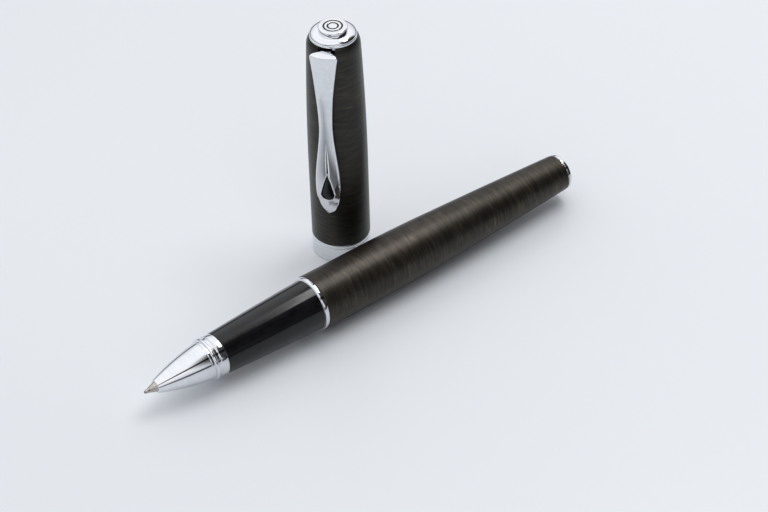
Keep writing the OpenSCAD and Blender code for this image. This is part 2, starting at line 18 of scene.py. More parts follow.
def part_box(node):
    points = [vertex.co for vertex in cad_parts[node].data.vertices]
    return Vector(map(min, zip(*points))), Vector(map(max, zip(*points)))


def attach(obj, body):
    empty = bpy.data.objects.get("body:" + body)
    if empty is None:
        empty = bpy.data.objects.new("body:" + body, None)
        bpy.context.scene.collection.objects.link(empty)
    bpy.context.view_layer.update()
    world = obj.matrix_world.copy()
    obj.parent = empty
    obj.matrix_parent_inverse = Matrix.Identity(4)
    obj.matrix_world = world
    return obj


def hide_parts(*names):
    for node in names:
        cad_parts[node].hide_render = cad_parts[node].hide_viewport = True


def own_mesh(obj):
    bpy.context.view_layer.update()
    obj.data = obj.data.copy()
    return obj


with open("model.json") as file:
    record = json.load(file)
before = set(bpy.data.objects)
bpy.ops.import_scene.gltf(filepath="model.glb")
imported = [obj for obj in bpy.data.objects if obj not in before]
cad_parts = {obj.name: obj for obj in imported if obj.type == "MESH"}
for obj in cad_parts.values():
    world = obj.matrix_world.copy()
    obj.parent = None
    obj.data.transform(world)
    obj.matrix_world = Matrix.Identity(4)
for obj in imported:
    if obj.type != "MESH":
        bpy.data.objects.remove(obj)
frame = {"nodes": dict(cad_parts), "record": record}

LOG = logging.getLogger("pen")
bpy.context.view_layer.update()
MM = 0.001
MICRON = 0.000001
TURN = 2 * math.pi
AT_AXIS = 1e-7
LEAST = 1e-6

Point = tuple[float, float]
Colour = tuple[float, float, float]
Piece = bpy.types.Object
Socket = bpy.types.NodeSocket
Ring = list[bmesh.types.BMVert]


# ------------------------------------------------------------------ places


@dataclass(frozen=True)
class Axis:
    """A turning axis, with a direction square to it from which turns are counted."""

    start: Vector
    along: Vector
    side: Vector

    @property
    def across(self) -> Vector:
        """The direction square to both others, a quarter turn on from the side."""
        return self.along.cross(self.side)

    def place(self, station: float, radius: float, turn: float) -> Vector:
        """Gives a point from cylindrical coordinates.

        Args:
            station: Distance along the axis from its start.
            radius: Distance from the axis.
            turn: Angle from the side, in radians, right-handed about the axis.

        Returns:
            The point in the part's frame.
        """
        outward = self.side * math.cos(turn) + self.across * math.sin(turn)
        return self.start + self.along * station + outward * radius

    def at(self, along: float, side: float, across: float) -> Vector:
        """Gives a point from straight coordinates along the three directions."""
        return self.start + self.along * along + self.side * side + self.across * across


def pen_axis() -> Axis:
    """Finds the pen's axis.

    Returns:
        The axis, which starts at the front of the writing ball, runs to the tail and has its side up.
    """
    low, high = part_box("grip_rear_ring")
    start = Vector((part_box("writing_ball")[0].x, (low.y + high.y) / 2, (low.z + high.z) / 2))
    return Axis(start, Vector((1, 0, 0)), Vector((0, 0, 1)))


def cap_axis() -> Axis:
    """Finds the cap's axis.

    Returns:
        The axis, which starts on the table, runs up and has its side facing out through the clip.
    """
    low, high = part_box("cap_mouth_ring")
    joints = frame["record"]["behaviour"]["joints"]
    hinge = next(joint for joint in joints if joint["name"] == "clip_pivot")
    out = Vector((-hinge["axis"][1], hinge["axis"][0], 0)).normalized()
    return Axis(Vector(((low.x + high.x) / 2, (low.y + high.y) / 2, 0)), Vector((0, 0, 1)), out)


def stations(node: str, axis: Axis) -> Point:
    """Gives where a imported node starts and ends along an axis."""
    low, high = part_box(node)
    return (low - axis.start).dot(axis.along), (high - axis.start).dot(axis.along)


def greatest_radius(node: str, axis: Axis) -> float:
    """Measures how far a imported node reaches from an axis.

    Args:
        node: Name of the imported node.
        axis: The axis to measure from.

    Returns:
        The greatest distance of any of its vertices.
    """
    reach = 0.0
    for vertex in frame["nodes"][node].data.vertices:
        arm = vertex.co - axis.start
        reach = max(reach, (arm - axis.along * arm.dot(axis.along)).length)
    return reach


def smooth_step(value: float) -> float:
    """Eases a share from 0 to 1, held at both ends."""
    share = min(max(value, 0.0), 1.0)
    return share * share * (3 - 2 * share)


# ------------------------------------------------------------------ meshes


def soften(points: Sequence[Point], radius: float, closed: bool = False, steps: int = 5) -> list[Point]:
    """Rounds the sharp corners of an outline.

    Args:
        points: The outline as (station, radius) points.
        radius: Radius of the rounding, less where the corner's sides are short.
        closed: Whether the last point joins the first.
        steps: Number of steps in each rounding.

    Returns:
        The outline with an arc in place of each sharp corner.
    """
    result: list[Point] = []
    count = len(points)
    for index, point in enumerate(points):
        if not closed and index in (0, count - 1):
            result.append(point)
            continue
        here = Vector(point)
        before = Vector(points[index - 1]) - here
        after = Vector(points[(index + 1) % count]) - here
        if before.length < 1e-9 or after.length < 1e-9:
            result.append(point)
            continue
        bend = before.angle(-after)
        if bend < math.radians(14):
            result.append(point)
            continue
        reach = min(radius * math.tan(bend / 2), 0.45 * before.length, 0.45 * after.length)
        first, last = here + before.normalized() * reach, here + after.normalized() * reach
        for step in range(steps + 1):
            share = step / steps
            bow = first * (1 - share) ** 2 + here * 2 * share * (1 - share) + last * share**2
            result.append((bow.x, bow.y))
    return result


def curve(radius_at: Callable[[float], float], start: float, end: float, steps: int) -> list[Point]:
    """Samples an outline between two stations.

    Args:
        radius_at: Gives the outline's radius at a station.
        start: The first station.
        end: The last station.
        steps: Number of steps between them.

    Returns:
        The outline as (station, radius) points, both ends included.
    """
    places = [start + (end - start) * step / steps for step in range(steps + 1)]
    return [(place, radius_at(place)) for place in places]


def crowned(start: float, end: float, radius: float, drop: float, steps: int) -> list[Point]:
    """Draws a band that is slightly fuller in its middle.

    Args:
        start: Station of its first edge.
        end: Station of its last edge.
        radius: Radius in its middle.
        drop: How much less the radius is at its edges.
        steps: Number of steps between the edges.

    Returns:
        The band's outline as (station, radius) points.
    """
    return [
        (start + (end - start) * step / steps, radius - drop * (2 * step / steps - 1) ** 2)
        for step in range(steps + 1)
    ]


def bellied(front: float, rear: float, swell: float, share: float) -> float:
    """Gives the radius of a cone with a slight belly.

    Args:
        front: Radius at the front.
        rear: Radius at the rear.
        swell: How far the belly stands out of the straight side, half-way along.
        share: Where along the cone, from 0 at the front to 1 at the rear.

    Returns:
        The radius there.
    """
    return front + (rear - front) * share + 4 * swell * share * (1 - share)


def join_rings(
    mesh: bmesh.types.BMesh, rings: Sequence[Ring], closed: bool = False, capped: bool = True
) -> None:
    """Joins rings of vertices into a skin.

    Args:
        mesh: The mesh that holds the vertices.
        rings: The rings in order, all with the same number of vertices.
        closed: Whether the last ring joins the first.
        capped: Whether a face closes each end.
    """
    pairs = list(zip(rings, rings[1:]))
    if closed:
        pairs.append((rings[-1], rings[0]))
    for low, high in pairs:
        for index in range(len(low)):
            following = (index + 1) % len(low)
            mesh.faces.new([low[index], low[following], high[following], high[index]])
    if capped:
        mesh.faces.new(rings[0])
        mesh.faces.new(rings[-1][::-1])


def box_corners(axis: Axis, heights: Point, reaches: Point, half: float) -> list[Vector]:
    """Gives the corners of a straight-sided block that lies square to an axis.

    Args:
        axis: The axis.
        heights: Where the block starts and ends along the axis.
        reaches: Where it starts and ends towards the axis's side.
        half: Half its width.

    Returns:
        The lower four corners in order, then the upper four in the same order.
    """
    near, far = reaches
    plan = ((near, -half), (far, -half), (far, half), (near, half))
    return [axis.at(height, reach, across) for height in heights for reach, across in plan]


def settle(mesh: bmesh.types.BMesh, name: str, sharp: float = 32.0) -> Piece:
    """Turns a finished mesh into a shown object with smooth faces and sharp edges.

    Args:
        mesh: The mesh, which is freed.
        name: Name of the new piece.
        sharp: Least angle between two faces, in degrees, at which their edge stays crisp.

    Returns:
        The new object.
    """
    bmesh.ops.remove_doubles(mesh, verts=mesh.verts, dist=1e-8)
    bmesh.ops.recalc_face_normals(mesh, faces=mesh.faces)
    for face in mesh.faces:
        face.smooth = True
    for edge in mesh.edges:
        edge.smooth = not (edge.is_manifold and edge.calc_face_angle(0) > math.radians(sharp))
    data = bpy.data.meshes.new(name)
    mesh.to_mesh(data)
    mesh.free()
    piece = bpy.data.objects.new(name, data)
    bpy.context.scene.collection.objects.link(piece)
    return piece


def lathe(name: str, axis: Axis, points: Sequence[Point], closed: bool = False, sides: int = 144) -> Piece:
    """Turns an outline about an axis.

    Args:
        name: Name of the new piece.
        axis: The axis to turn about.
        points: The outline as (station, radius) points.
        closed: Whether the last point joins the first, as in a ring or tube.
        sides: Number of sides around.

    Returns:
        The turned piece.
    """
    mesh = bmesh.new()
    layer = mesh.loops.layers.uv.new("UVMap")
    turns = [TURN * side / sides for side in range(sides)]
    rings: list[Ring] = []
    for station, radius in points:
        if radius < AT_AXIS:
            rings.append([mesh.verts.new(axis.place(station, 0, 0))] * sides)
        else:
            rings.append([mesh.verts.new(axis.place(station, radius, turn)) for turn in turns])
    lengths = [0.0]
    for first, last in zip(points, points[1:]):
        lengths.append(lengths[-1] + math.dist(first, last))
    total = max(lengths[-1], AT_AXIS)
    pairs = list(zip(range(len(rings) - 1), range(1, len(rings))))
    if closed:
        pairs.append((len(rings) - 1, 0))
    for low, high in pairs:
        for side in range(sides):
            following = (side + 1) % sides
            corners = [rings[low][side], rings[low][following], rings[high][following], rings[high][side]]
            places = [(side, low), (side + 1, low), (side + 1, high), (side, high)]
            kept = [corner for number, corner in enumerate(corners) if corner not in corners[:number]]
            if len(kept) < 3:
                continue
            face = mesh.faces.new(kept)
            for loop in face.loops:
                around, row = places[corners.index(loop.vert)]
                loop[layer].uv = (around / sides, lengths[row] / total)
    return settle(mesh, name)


@dataclass(frozen=True)
class Thread:
    """A right-handed screw thread between the section and the barrel, whose ends run out into the wall."""

    root: float
    crest: float
    lead: float
    pitch: float = 1.0 * MM
    turns: float = 4.6
    foot_half: float = 0.27
    crest_half: float = 0.10
    land_half: float = 0.04
    crown: float = 0.03
    sink: float = 0.03 * MM
    steps_per_turn: int = 72
    run_out: float = 1 / 3

    def wind(self, name: str, axis: Axis) -> Piece:
        """Winds the thread's ridge behind the barrel's mouth.

        Args:
            name: Name of the new piece.
            axis: The thread's axis.

        Returns:
            The ridge.
        """
        start = stations("barrel_tube", axis)[0] + self.lead
        end = start + self.turns * self.pitch
        steps = round(self.turns * self.steps_per_turn)
        run_out = self.steps_per_turn * self.run_out
        sunk = self.root - math.copysign(self.sink, self.crest - self.root)
        mesh = bmesh.new()
        rings: list[Ring] = []
        for step in range(steps + 1):
            share = min(1.0, step / run_out, (steps - step) / run_out)
            top = sunk + (self.crest - sunk) * max(share, 0.02)
            full = top + (top - sunk) * self.crown
            turn, middle = TURN * step / self.steps_per_turn, start + (end - start) * step / steps
            profile = (
                (-self.foot_half, sunk), (-self.crest_half, top), (-self.land_half, full),
                (self.land_half, full), (self.crest_half, top), (self.foot_half, sunk),
            )
            points = [axis.place(middle + part * self.pitch, radius, turn) for part, radius in profile]
            rings.append([mesh.verts.new(point) for point in points])
        join_rings(mesh, rings)
        return settle(mesh, name, 60)


def block(name: str, corners: Iterable[Vector], bevel: float) -> Piece:
    """Builds a straight-sided block from its eight corners, with rounded edges.

    Args:
        name: Name of the new piece.
        corners: The corners, lower four in order, then the upper four in the same order.
        bevel: Radius of the rounded edges.

    Returns:
        The block.
    """
    mesh = bmesh.new()
    verts = [mesh.verts.new(corner) for corner in corners]
    for quad in ((0, 1, 2, 3), (4, 5, 6, 7), (0, 1, 5, 4), (1, 2, 6, 5), (2, 3, 7, 6), (3, 0, 4, 7)):
        mesh.faces.new([verts[index] for index in quad])
    bmesh.ops.recalc_face_normals(mesh, faces=mesh.faces)
    if bevel > 0:
        bmesh.ops.bevel(mesh, geom=mesh.edges[:], offset=bevel, segments=3, profile=0.5, affect="EDGES")
    return settle(mesh, name, 40)


def carve(piece: Piece, cutter: Piece) -> Piece:
    """Cuts one piece out of another for good, and removes the cutter.

    Args:
        piece: The piece to cut.
        cutter: The shape to cut away.

    Returns:
        The cut piece.
    """
    change = piece.modifiers.new("cut", "BOOLEAN")
    change.operation, change.solver, change.object = "DIFFERENCE", "EXACT", cutter
    bpy.context.view_layer.update()
    cut = bmesh.new()
    cut.from_object(piece, bpy.context.evaluated_depsgraph_get())
    name, old, tool = piece.name, piece.data, cutter.data
    bpy.data.objects.remove(piece)
    bpy.data.objects.remove(cutter)
    bpy.data.meshes.remove(old)
    bpy.data.meshes.remove(tool)
    return settle(cut, name)


# ------------------------------------------------------------------ finishes


class Lay(Enum):
    """The direction in which a piece was turned or drawn, as the axis that its tool marks go round."""

    ROUND_PEN = "x"
    ROUND_CAP = "z"


class Nodes:
    """A tree of shader nodes, with short ways to add the common ones."""

    def __init__(self, tree: bpy.types.NodeTree) -> None:
        """Takes the tree to work on."""
        self.tree = tree

    def math(self, kind: str, first: Socket | float, second: Socket | float = 0.0) -> Socket:
        """Adds a sum of two values.

        Args:
            kind: Blender's name of the sum, such as ADD.
            first: The first value, a socket or a plain number.
            second: The second value, for a sum that takes two.

        Returns:
            The result.
        """
        node = self.tree.nodes.new("ShaderNodeMath")
        node.operation = kind
        for socket, value in zip(node.inputs, (first, second)):
            if isinstance(value, (int, float)):
                socket.default_value = value
            else:
                self.tree.links.new(value, socket)
        return node.outputs[0]

    def weigh(self, *parts: tuple[Socket, float]) -> Socket:
        """Adds patterns together, each by its weight.

        Args:
            *parts: The patterns, each with its weight.

        Returns:
            The weighed sum.
        """
        first, *others = [self.math("MULTIPLY", value, weight) for value, weight in parts]
        for other in others:
            first = self.math("ADD", first, other)
        return first

    def spread(
        self, value: Socket, low: float, high: float, out_low: float, out_high: float, smooth: bool = False
    ) -> Socket:
        """Maps a value from one range to another, held at both ends.

        Args:
            value: The value.
            low: Value that maps to out_low.
            high: Value that maps to out_high.
            out_low: Result at the low end.
            out_high: Result at the high end.
            smooth: Whether the result eases in and out.

        Returns:
            The mapped value.
        """
        node = self.tree.nodes.new("ShaderNodeMapRange")
        if smooth:
            node.interpolation_type = "SMOOTHSTEP"
        settings = {"From Min": low, "From Max": high, "To Min": out_low, "To Max": out_high}
        for name, number in settings.items():
            node.inputs[name].default_value = number
        self.tree.links.new(value, node.inputs["Value"])
        return node.outputs["Result"]

    def ramp(self, value: Socket, stops: Sequence[tuple[float, Colour]]) -> Socket:
        """Colours a value from a row of stops.

        Args:
            value: The value to colour.
            stops: Places from 0 to 1, each with its colour, lowest first.

        Returns:
            The colour.
        """
        node = self.tree.nodes.new("ShaderNodeValToRGB")
        elements = node.color_ramp.elements
        while len(elements) < len(stops):
            elements.new(0.5)
        for element, (place, colour) in zip(elements, stops):
            element.position = place
            element.color = (*colour, 1.0)
        self.tree.links.new(value, node.inputs["Fac"])
        return node.outputs["Color"]

    def mix(self, share: Socket, first: Socket, second: Socket) -> Socket:
        """Mixes two colours.

        Args:
            share: Share of the second colour, from 0 to 1.
            first: The first colour.
            second: The second colour.

        Returns:
            The mixed colour.
        """
        node = self.tree.nodes.new("ShaderNodeMix")
        node.data_type = "RGBA"
        self.tree.links.new(share, node.inputs["Factor"])
        self.tree.links.new(first, node.inputs["A"])
        self.tree.links.new(second, node.inputs["B"])
        return node.outputs["Result"]

    def facing(self, direction: Socket, toward: Colour) -> Socket:
        """Adds how nearly a direction points the same way as a fixed one.

        Args:
            direction: The direction, of length 1.
            toward: The fixed direction, of any length.

        Returns:
            1 where both point the same way, 0 where they are square and -1 where they are opposite.
        """
        node = self.tree.nodes.new("ShaderNodeVectorMath")
        node.operation = "DOT_PRODUCT"
        self.tree.links.new(direction, node.inputs[0])
        node.inputs[1].default_value = Vector(toward).normalized()
        return node.outputs["Value"]


class Bench(Nodes):
    """Lays out the shader nodes of one material."""

    def __init__(self, name: str, metallic: float = 0.0) -> None:
        """Starts a material with its shader.

        Args:
            name: Name of the material.
            metallic: 1 for bare metal, 0 for anything else.
        """
        self.material = bpy.data.materials.new(name)
        self.material.use_nodes = True
        super().__init__(self.material.node_tree)
        self.shader = self.tree.nodes["Principled BSDF"]
        self.shader.inputs["Metallic"].default_value = metallic
        self.coordinates = self.tree.nodes.new("ShaderNodeTexCoord").outputs["Object"]

    def set(self, **values: float) -> None:
        """Sets plain numbers on the shader's own sockets, with _ for each space in a socket's name."""
        for name, value in values.items():
            self.shader.inputs[name.replace("_", " ")].default_value = value

    def noise(self, stretch: Colour, detail: float = 3.0, rough: float = 0.55, shift: float = 0.0) -> Socket:
        """Adds a noise pattern.

        Args:
            stretch: How many features there are to a metre in X, Y and Z.
            detail: Number of finer layers.
            rough: Share of the finer layers.
            shift: Distance by which the pattern is moved, so that two patterns differ.

        Returns:
            The pattern's value, about 0.5 on average.
        """
        mapping = self.tree.nodes.new("ShaderNodeMapping")
        mapping.inputs["Scale"].default_value = stretch
        mapping.inputs["Location"].default_value = (shift, shift * 0.7, shift * 1.3)
        self.tree.links.new(self.coordinates, mapping.inputs["Vector"])
        pattern = self.tree.nodes.new("ShaderNodeTexNoise")
        pattern.inputs["Scale"].default_value = 1.0
        pattern.inputs["Detail"].default_value = detail
        pattern.inputs["Roughness"].default_value = rough
        self.tree.links.new(mapping.outputs["Vector"], pattern.inputs["Vector"])
        return pattern.outputs["Fac"]

    def marks(self, lay: Lay, fine: float, long: float, detail: float = 3.0, shift: float = 0.0) -> Socket:
        """Adds marks that go round a piece: fine along its axis and long round it."""
        stretch = (fine, long, long) if lay is Lay.ROUND_PEN else (long, long, fine)
        return self.noise(stretch, detail, 0.6, shift)

    def colour(self, value: Socket) -> None:
        """Joins a colour to the shader."""
        self.tree.links.new(value, self.shader.inputs["Base Color"])

    def rough(self, value: Socket) -> None:
        """Joins a roughness to the shader."""
        self.tree.links.new(value, self.shader.inputs["Roughness"])

    def relief(self, height: Socket, depth: float, strength: float = 1.0) -> None:
        """Gives the surface a fine relief.

        Args:
            height: The pattern of the relief.
            depth: Its depth in metres.
            strength: Share of it that shows.
        """
        node = self.tree.nodes.new("ShaderNodeBump")
        node.inputs["Strength"].default_value = strength
        node.inputs["Distance"].default_value = depth
        self.tree.links.new(height, node.inputs["Height"])
        self.tree.links.new(node.outputs["Normal"], self.shader.inputs["Normal"])

    def edge(self) -> Socket:
        """Gives a value that rises along outer edges."""
        node = self.tree.nodes.new("ShaderNodeNewGeometry")
        return self.spread(node.outputs["Pointiness"], 0.515, 0.60, 0.0, 1.0)


def lighter(colour: Colour, gain: float) -> Colour:
    """Gives a colour made lighter by a gain, held at white."""
    return tuple(min(part * gain, 1.0) for part in colour)


@dataclass(frozen=True)
class BrushedLacquer:
    """Dark brown-black lacquer over metal that was brushed round and round."""

    lay: Lay
    deep: Colour = (0.026, 0.0225, 0.0190)
    ground: Colour = (0.044, 0.0380, 0.0310)
    line: Colour = (0.068, 0.0580, 0.0450)
    gold: Colour = (0.125, 0.1040, 0.0730)
    relief_depth: float = 12 * MICRON

    def make(self) -> bpy.types.Material:
        """Builds the material from hairlines, wider strands, slow drift and short brighter arcs.

        Returns:
            The material.
        """
        bench = Bench(f"brushed_bronze_black_{self.lay.name.lower()}", 1.0)
        hair = bench.marks(self.lay, 5200, 240, 4, 3.1)
        strand = bench.marks(self.lay, 1500, 210, 4, 7.7)
        drift = bench.marks(self.lay, 210, 120, 3, 1.9)
        arcs = bench.marks(self.lay, 1150, 170, 2, 12.4)
        mixed = bench.weigh((hair, 0.42), (strand, 0.38), (drift, 0.20))
        shades = ((0.36, self.deep), (0.49, self.ground), (0.585, self.line), (0.67, self.gold))
        glint = bench.ramp(hair, ((0.3, self.line), (0.7, self.gold)))
        bench.colour(bench.mix(bench.spread(arcs, 0.62, 0.72, 0.0, 0.5), bench.ramp(mixed, shades), glint))
        bench.rough(bench.spread(hair, 0.3, 0.7, 0.38, 0.54))
        bench.relief(bench.math("ADD", hair, bench.math("MULTIPLY", strand, 0.6)), self.relief_depth, 0.7)
        bench.set(Coat_Weight=0.22, Coat_Roughness=0.28, Coat_IOR=1.45)
        return bench.material


@dataclass(frozen=True)
class PolishedMetal:
    """Bright metal, polished or left from the tool, with faint marks that go round it."""

    name: str
    lay: Lay
    bright: Colour
    dull: Colour
    roughness: Point = (0.03, 0.075)
    grooves: float = 0.0
    marks_per_metre: float = 3800
    polish_depth: float = 2 * MICRON
    least_relief: float = 0.25
    relief_gain: float = 30000

    def make(self) -> bpy.types.Material:
        """Builds the material from a cloud, a fine haze and faint tool marks.

        Returns:
            The material.
        """
        bench = Bench(f"{self.name}_{self.lay.name.lower()}", 1.0)
        cloud = bench.noise((260, 260, 260), 4, 0.6, 2.3)
        haze = bench.noise((1500, 1500, 1500), 3, 0.6, 5.1)
        tool = bench.marks(self.lay, self.marks_per_metre, 60, 3, 4.2)
        shade = bench.ramp(bench.weigh((cloud, 0.6), (tool, 0.4)), ((0.35, self.dull), (0.62, self.bright)))
        # Slightly lighter colour along outer edges.
        edge_tone = bench.ramp(haze, ((0.3, self.bright), (0.7, lighter(self.bright, 1.06))))
        bench.colour(bench.mix(bench.edge(), shade, edge_tone))
        bench.rough(bench.spread(bench.weigh((haze, 0.5), (tool, 0.5)), 0.35, 0.65, *self.roughness))
        strength = self.least_relief + min(self.grooves * self.relief_gain, 0.6)
        bench.relief(tool, self.polish_depth + self.grooves, strength)
        return bench.material


@dataclass(frozen=True)
class GlossyBlack:
    """Deep black resin or enamel with a glassy surface and the faintest dust and polish marks."""

    name: str
    deep: Colour = (0.0035, 0.0036, 0.0042)
    lit: Colour = (0.0085, 0.0086, 0.0096)
    roughness: Point = (0.10, 0.17)
    relief_depth: float = 2 * MICRON

    def make(self) -> bpy.types.Material:
        """Builds the material from a cloud, a fine haze and long polish swirls.

        Returns:
            The material.
        """
        bench = Bench(self.name)
        cloud = bench.noise((420, 420, 420), 4, 0.6, 6.6)
        haze = bench.noise((2600, 2600, 2600), 3, 0.65, 1.2)
        swirl = bench.noise((240, 3200, 3200), 3, 0.6, 8.8)
        bench.colour(bench.ramp(cloud, ((0.35, self.deep), (0.66, self.lit))))
        bench.rough(bench.spread(haze, 0.35, 0.65, *self.roughness))
        bench.relief(bench.math("ADD", haze, swirl), self.relief_depth, 0.25)
        bench.set(Coat_Weight=0.1, Coat_Roughness=0.05, Coat_IOR=1.45, Specular_IOR_Level=0.34)
        return bench.material


@dataclass(frozen=True)
class MouldedPlastic:
    """Moulded plastic or pressed fibre with a fine grain and slightly uneven colour."""

    name: str
    pale: Colour
    deep: Colour
    roughness: Point = (0.38, 0.55)
    grain: float = 8 * MICRON

    def make(self) -> bpy.types.Material:
        """Builds the material from a cloud and a fine grain, paler along its edges.

        Returns:
            The material.
        """
        bench = Bench(self.name)
        cloud = bench.noise((500, 500, 500), 4, 0.6, 2.9)
        speck = bench.noise((7000, 7000, 7000), 3, 0.6, 9.3)
        body = bench.ramp(bench.weigh((cloud, 0.65), (speck, 0.35)), ((0.36, self.deep), (0.62, self.pale)))
        # Slightly lighter colour along outer edges.
        edge_tone = bench.ramp(speck, ((0.3, self.pale), (0.7, lighter(self.pale, 1.12))))
        bench.colour(bench.mix(bench.edge(), body, edge_tone))
        bench.rough(bench.spread(speck, 0.35, 0.65, *self.roughness))
        bench.relief(speck, self.grain, 0.6)
        return bench.material


Finish = BrushedLacquer | PolishedMetal | GlossyBlack | MouldedPlastic


@dataclass
class Finishes:
    """Every finish of the pen, each made once and named as the record names its slot."""

    made: dict[str, bpy.types.Material] = field(default_factory=dict)
    # Painted shade: the barrel's lacquer in darker tones, used for the standing cap's tube.
    shaded_cap_lacquer: tuple[Colour, ...] = (
        (0.022, 0.0205, 0.0185), (0.035, 0.0325, 0.0290), (0.050, 0.0455, 0.0380), (0.105, 0.0920, 0.0680),
    )

    def __post_init__(self) -> None:
        """Makes the materials."""
        chrome = ((0.80, 0.815, 0.84), (0.70, 0.715, 0.745))
        brass = ((0.76, 0.57, 0.29), (0.58, 0.41, 0.18))
        steel = ((0.66, 0.66, 0.67), (0.47, 0.47, 0.48))
        tip = ((0.57, 0.53, 0.485), (0.36, 0.33, 0.30))
        carbide = ((0.34, 0.34, 0.355), (0.2, 0.2, 0.21))
        enamel = ((0.001, 0.001, 0.0012), (0.003, 0.003, 0.0034))
        pen, cap = Lay.ROUND_PEN, Lay.ROUND_CAP
        finishes: dict[str, Finish] = {
            "brushed_bronze_black_round_pen": BrushedLacquer(pen),
            # The cap's lacquer is the barrel's lacquer, painted darker as shade.
            "brushed_bronze_black_round_cap": BrushedLacquer(cap, *self.shaded_cap_lacquer),
            "tip_steel": PolishedMetal("tip_steel", pen, *tip, (0.08, 0.18), 4 * MICRON, 6500),
            "carbide_ball": PolishedMetal("carbide_ball", pen, *carbide, (0.2, 0.35), 2 * MICRON, 9000),
            "black_resin": GlossyBlack("black_resin"),
            "black_enamel": GlossyBlack("black_enamel", *enamel, (0.10, 0.16)),
        }
        for lay in Lay:
            for name, colours, *wear in (
                ("polished_chrome", chrome),
                ("bare_brass", brass, (0.18, 0.32), 6 * MICRON),
                ("spring_steel", steel, (0.16, 0.3), 4 * MICRON),
            ):
                finishes[f"{name}_{lay.name.lower()}"] = PolishedMetal(name, lay, *colours, *wear)
        for name, pale, deep in (
            ("seat_plastic", (0.80, 0.78, 0.71), (0.69, 0.665, 0.59)),
            ("refill_plastic", (0.79, 0.795, 0.80), (0.68, 0.685, 0.70)),
            ("feed_plastic", (0.84, 0.84, 0.825), (0.70, 0.70, 0.68)),
            ("ink_fibre", (0.055, 0.065, 0.25), (0.02, 0.025, 0.12)),
            ("plug_plastic", (0.05, 0.05, 0.055), (0.028, 0.028, 0.031)),
            ("inner_cap_plastic", (0.052, 0.052, 0.057), (0.03, 0.03, 0.033)),
        ):
            finishes[name] = MouldedPlastic(name, pale, deep)
        for name, finish in finishes.items():
            self.made[name] = finish.make()

    def pick(self, slot: str, lay: Lay) -> bpy.types.Material:
        """Gives the material of a record's slot, with its marks laid round the pen or the cap."""
        return self.made.get(slot) or self.made[f"{slot}_{lay.name.lower()}"]


@dataclass
class Assembly:
    """What every sub-assembly shares: an axis, a CAD body to ride on and the finishes.

    Of the lying pen only the barrel's tube shows in mirror reflections, so that the clip mirrors mostly
    the pale room.
    """

    axis: Axis
    finishes: Finishes
    body: str
    lay: Lay

    def dress(self, piece: Piece, slot: str, *nodes: str, body: str = "") -> Piece:
        """Finishes a new piece and joins it to its CAD body.

        Args:
            piece: The piece.
            slot: The record's material slot that it takes its finish from.
            *nodes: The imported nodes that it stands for.
            body: The body to ride on, or nothing for the sub-assembly's own.

        Returns:
            The piece.
        """
        piece.data.materials.clear()
        piece.data.materials.append(self.finishes.pick(slot, self.lay))
        for face in piece.data.polygons:
            face.material_index = 0
        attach(piece, body or self.body)
        if nodes:
            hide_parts(*nodes)
        piece.visible_glossy = self.lay is Lay.ROUND_CAP
        LOG.info("%s rides on %s in %s", piece.name, body or self.body, slot)
        return piece

    def keep(self, *nodes: str) -> None:
        """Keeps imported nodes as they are, in their record's finish.

        Args:
            *nodes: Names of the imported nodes.
        """
        slots = {part["node"]: part["material_slot"] for part in frame["record"]["subparts"]}
        for node in nodes:
            kept = frame["nodes"][node]
            kept.visible_glossy = self.lay is Lay.ROUND_CAP
            for holder in kept.material_slots:
                holder.material = self.finishes.pick(slots[node], self.lay)
            LOG.info("%s is kept in %s", node, slots[node])

    def turn(
        self, node: str, points: Sequence[Point], slot: str, closed: bool = True, sides: int = 144
    ) -> Piece:
        """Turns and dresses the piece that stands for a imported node.

        Args:
            node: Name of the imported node.
            points: The piece's outline as (station, radius) points.
            slot: The record's material slot that it takes its finish from.
            closed: Whether the last point joins the first.
            sides: Number of sides around.

        Returns:
            The piece.
        """
        return self.dress(lathe(f"{node}_turned", self.axis, points, closed, sides), slot, node)


# ------------------------------------------------------------------ section


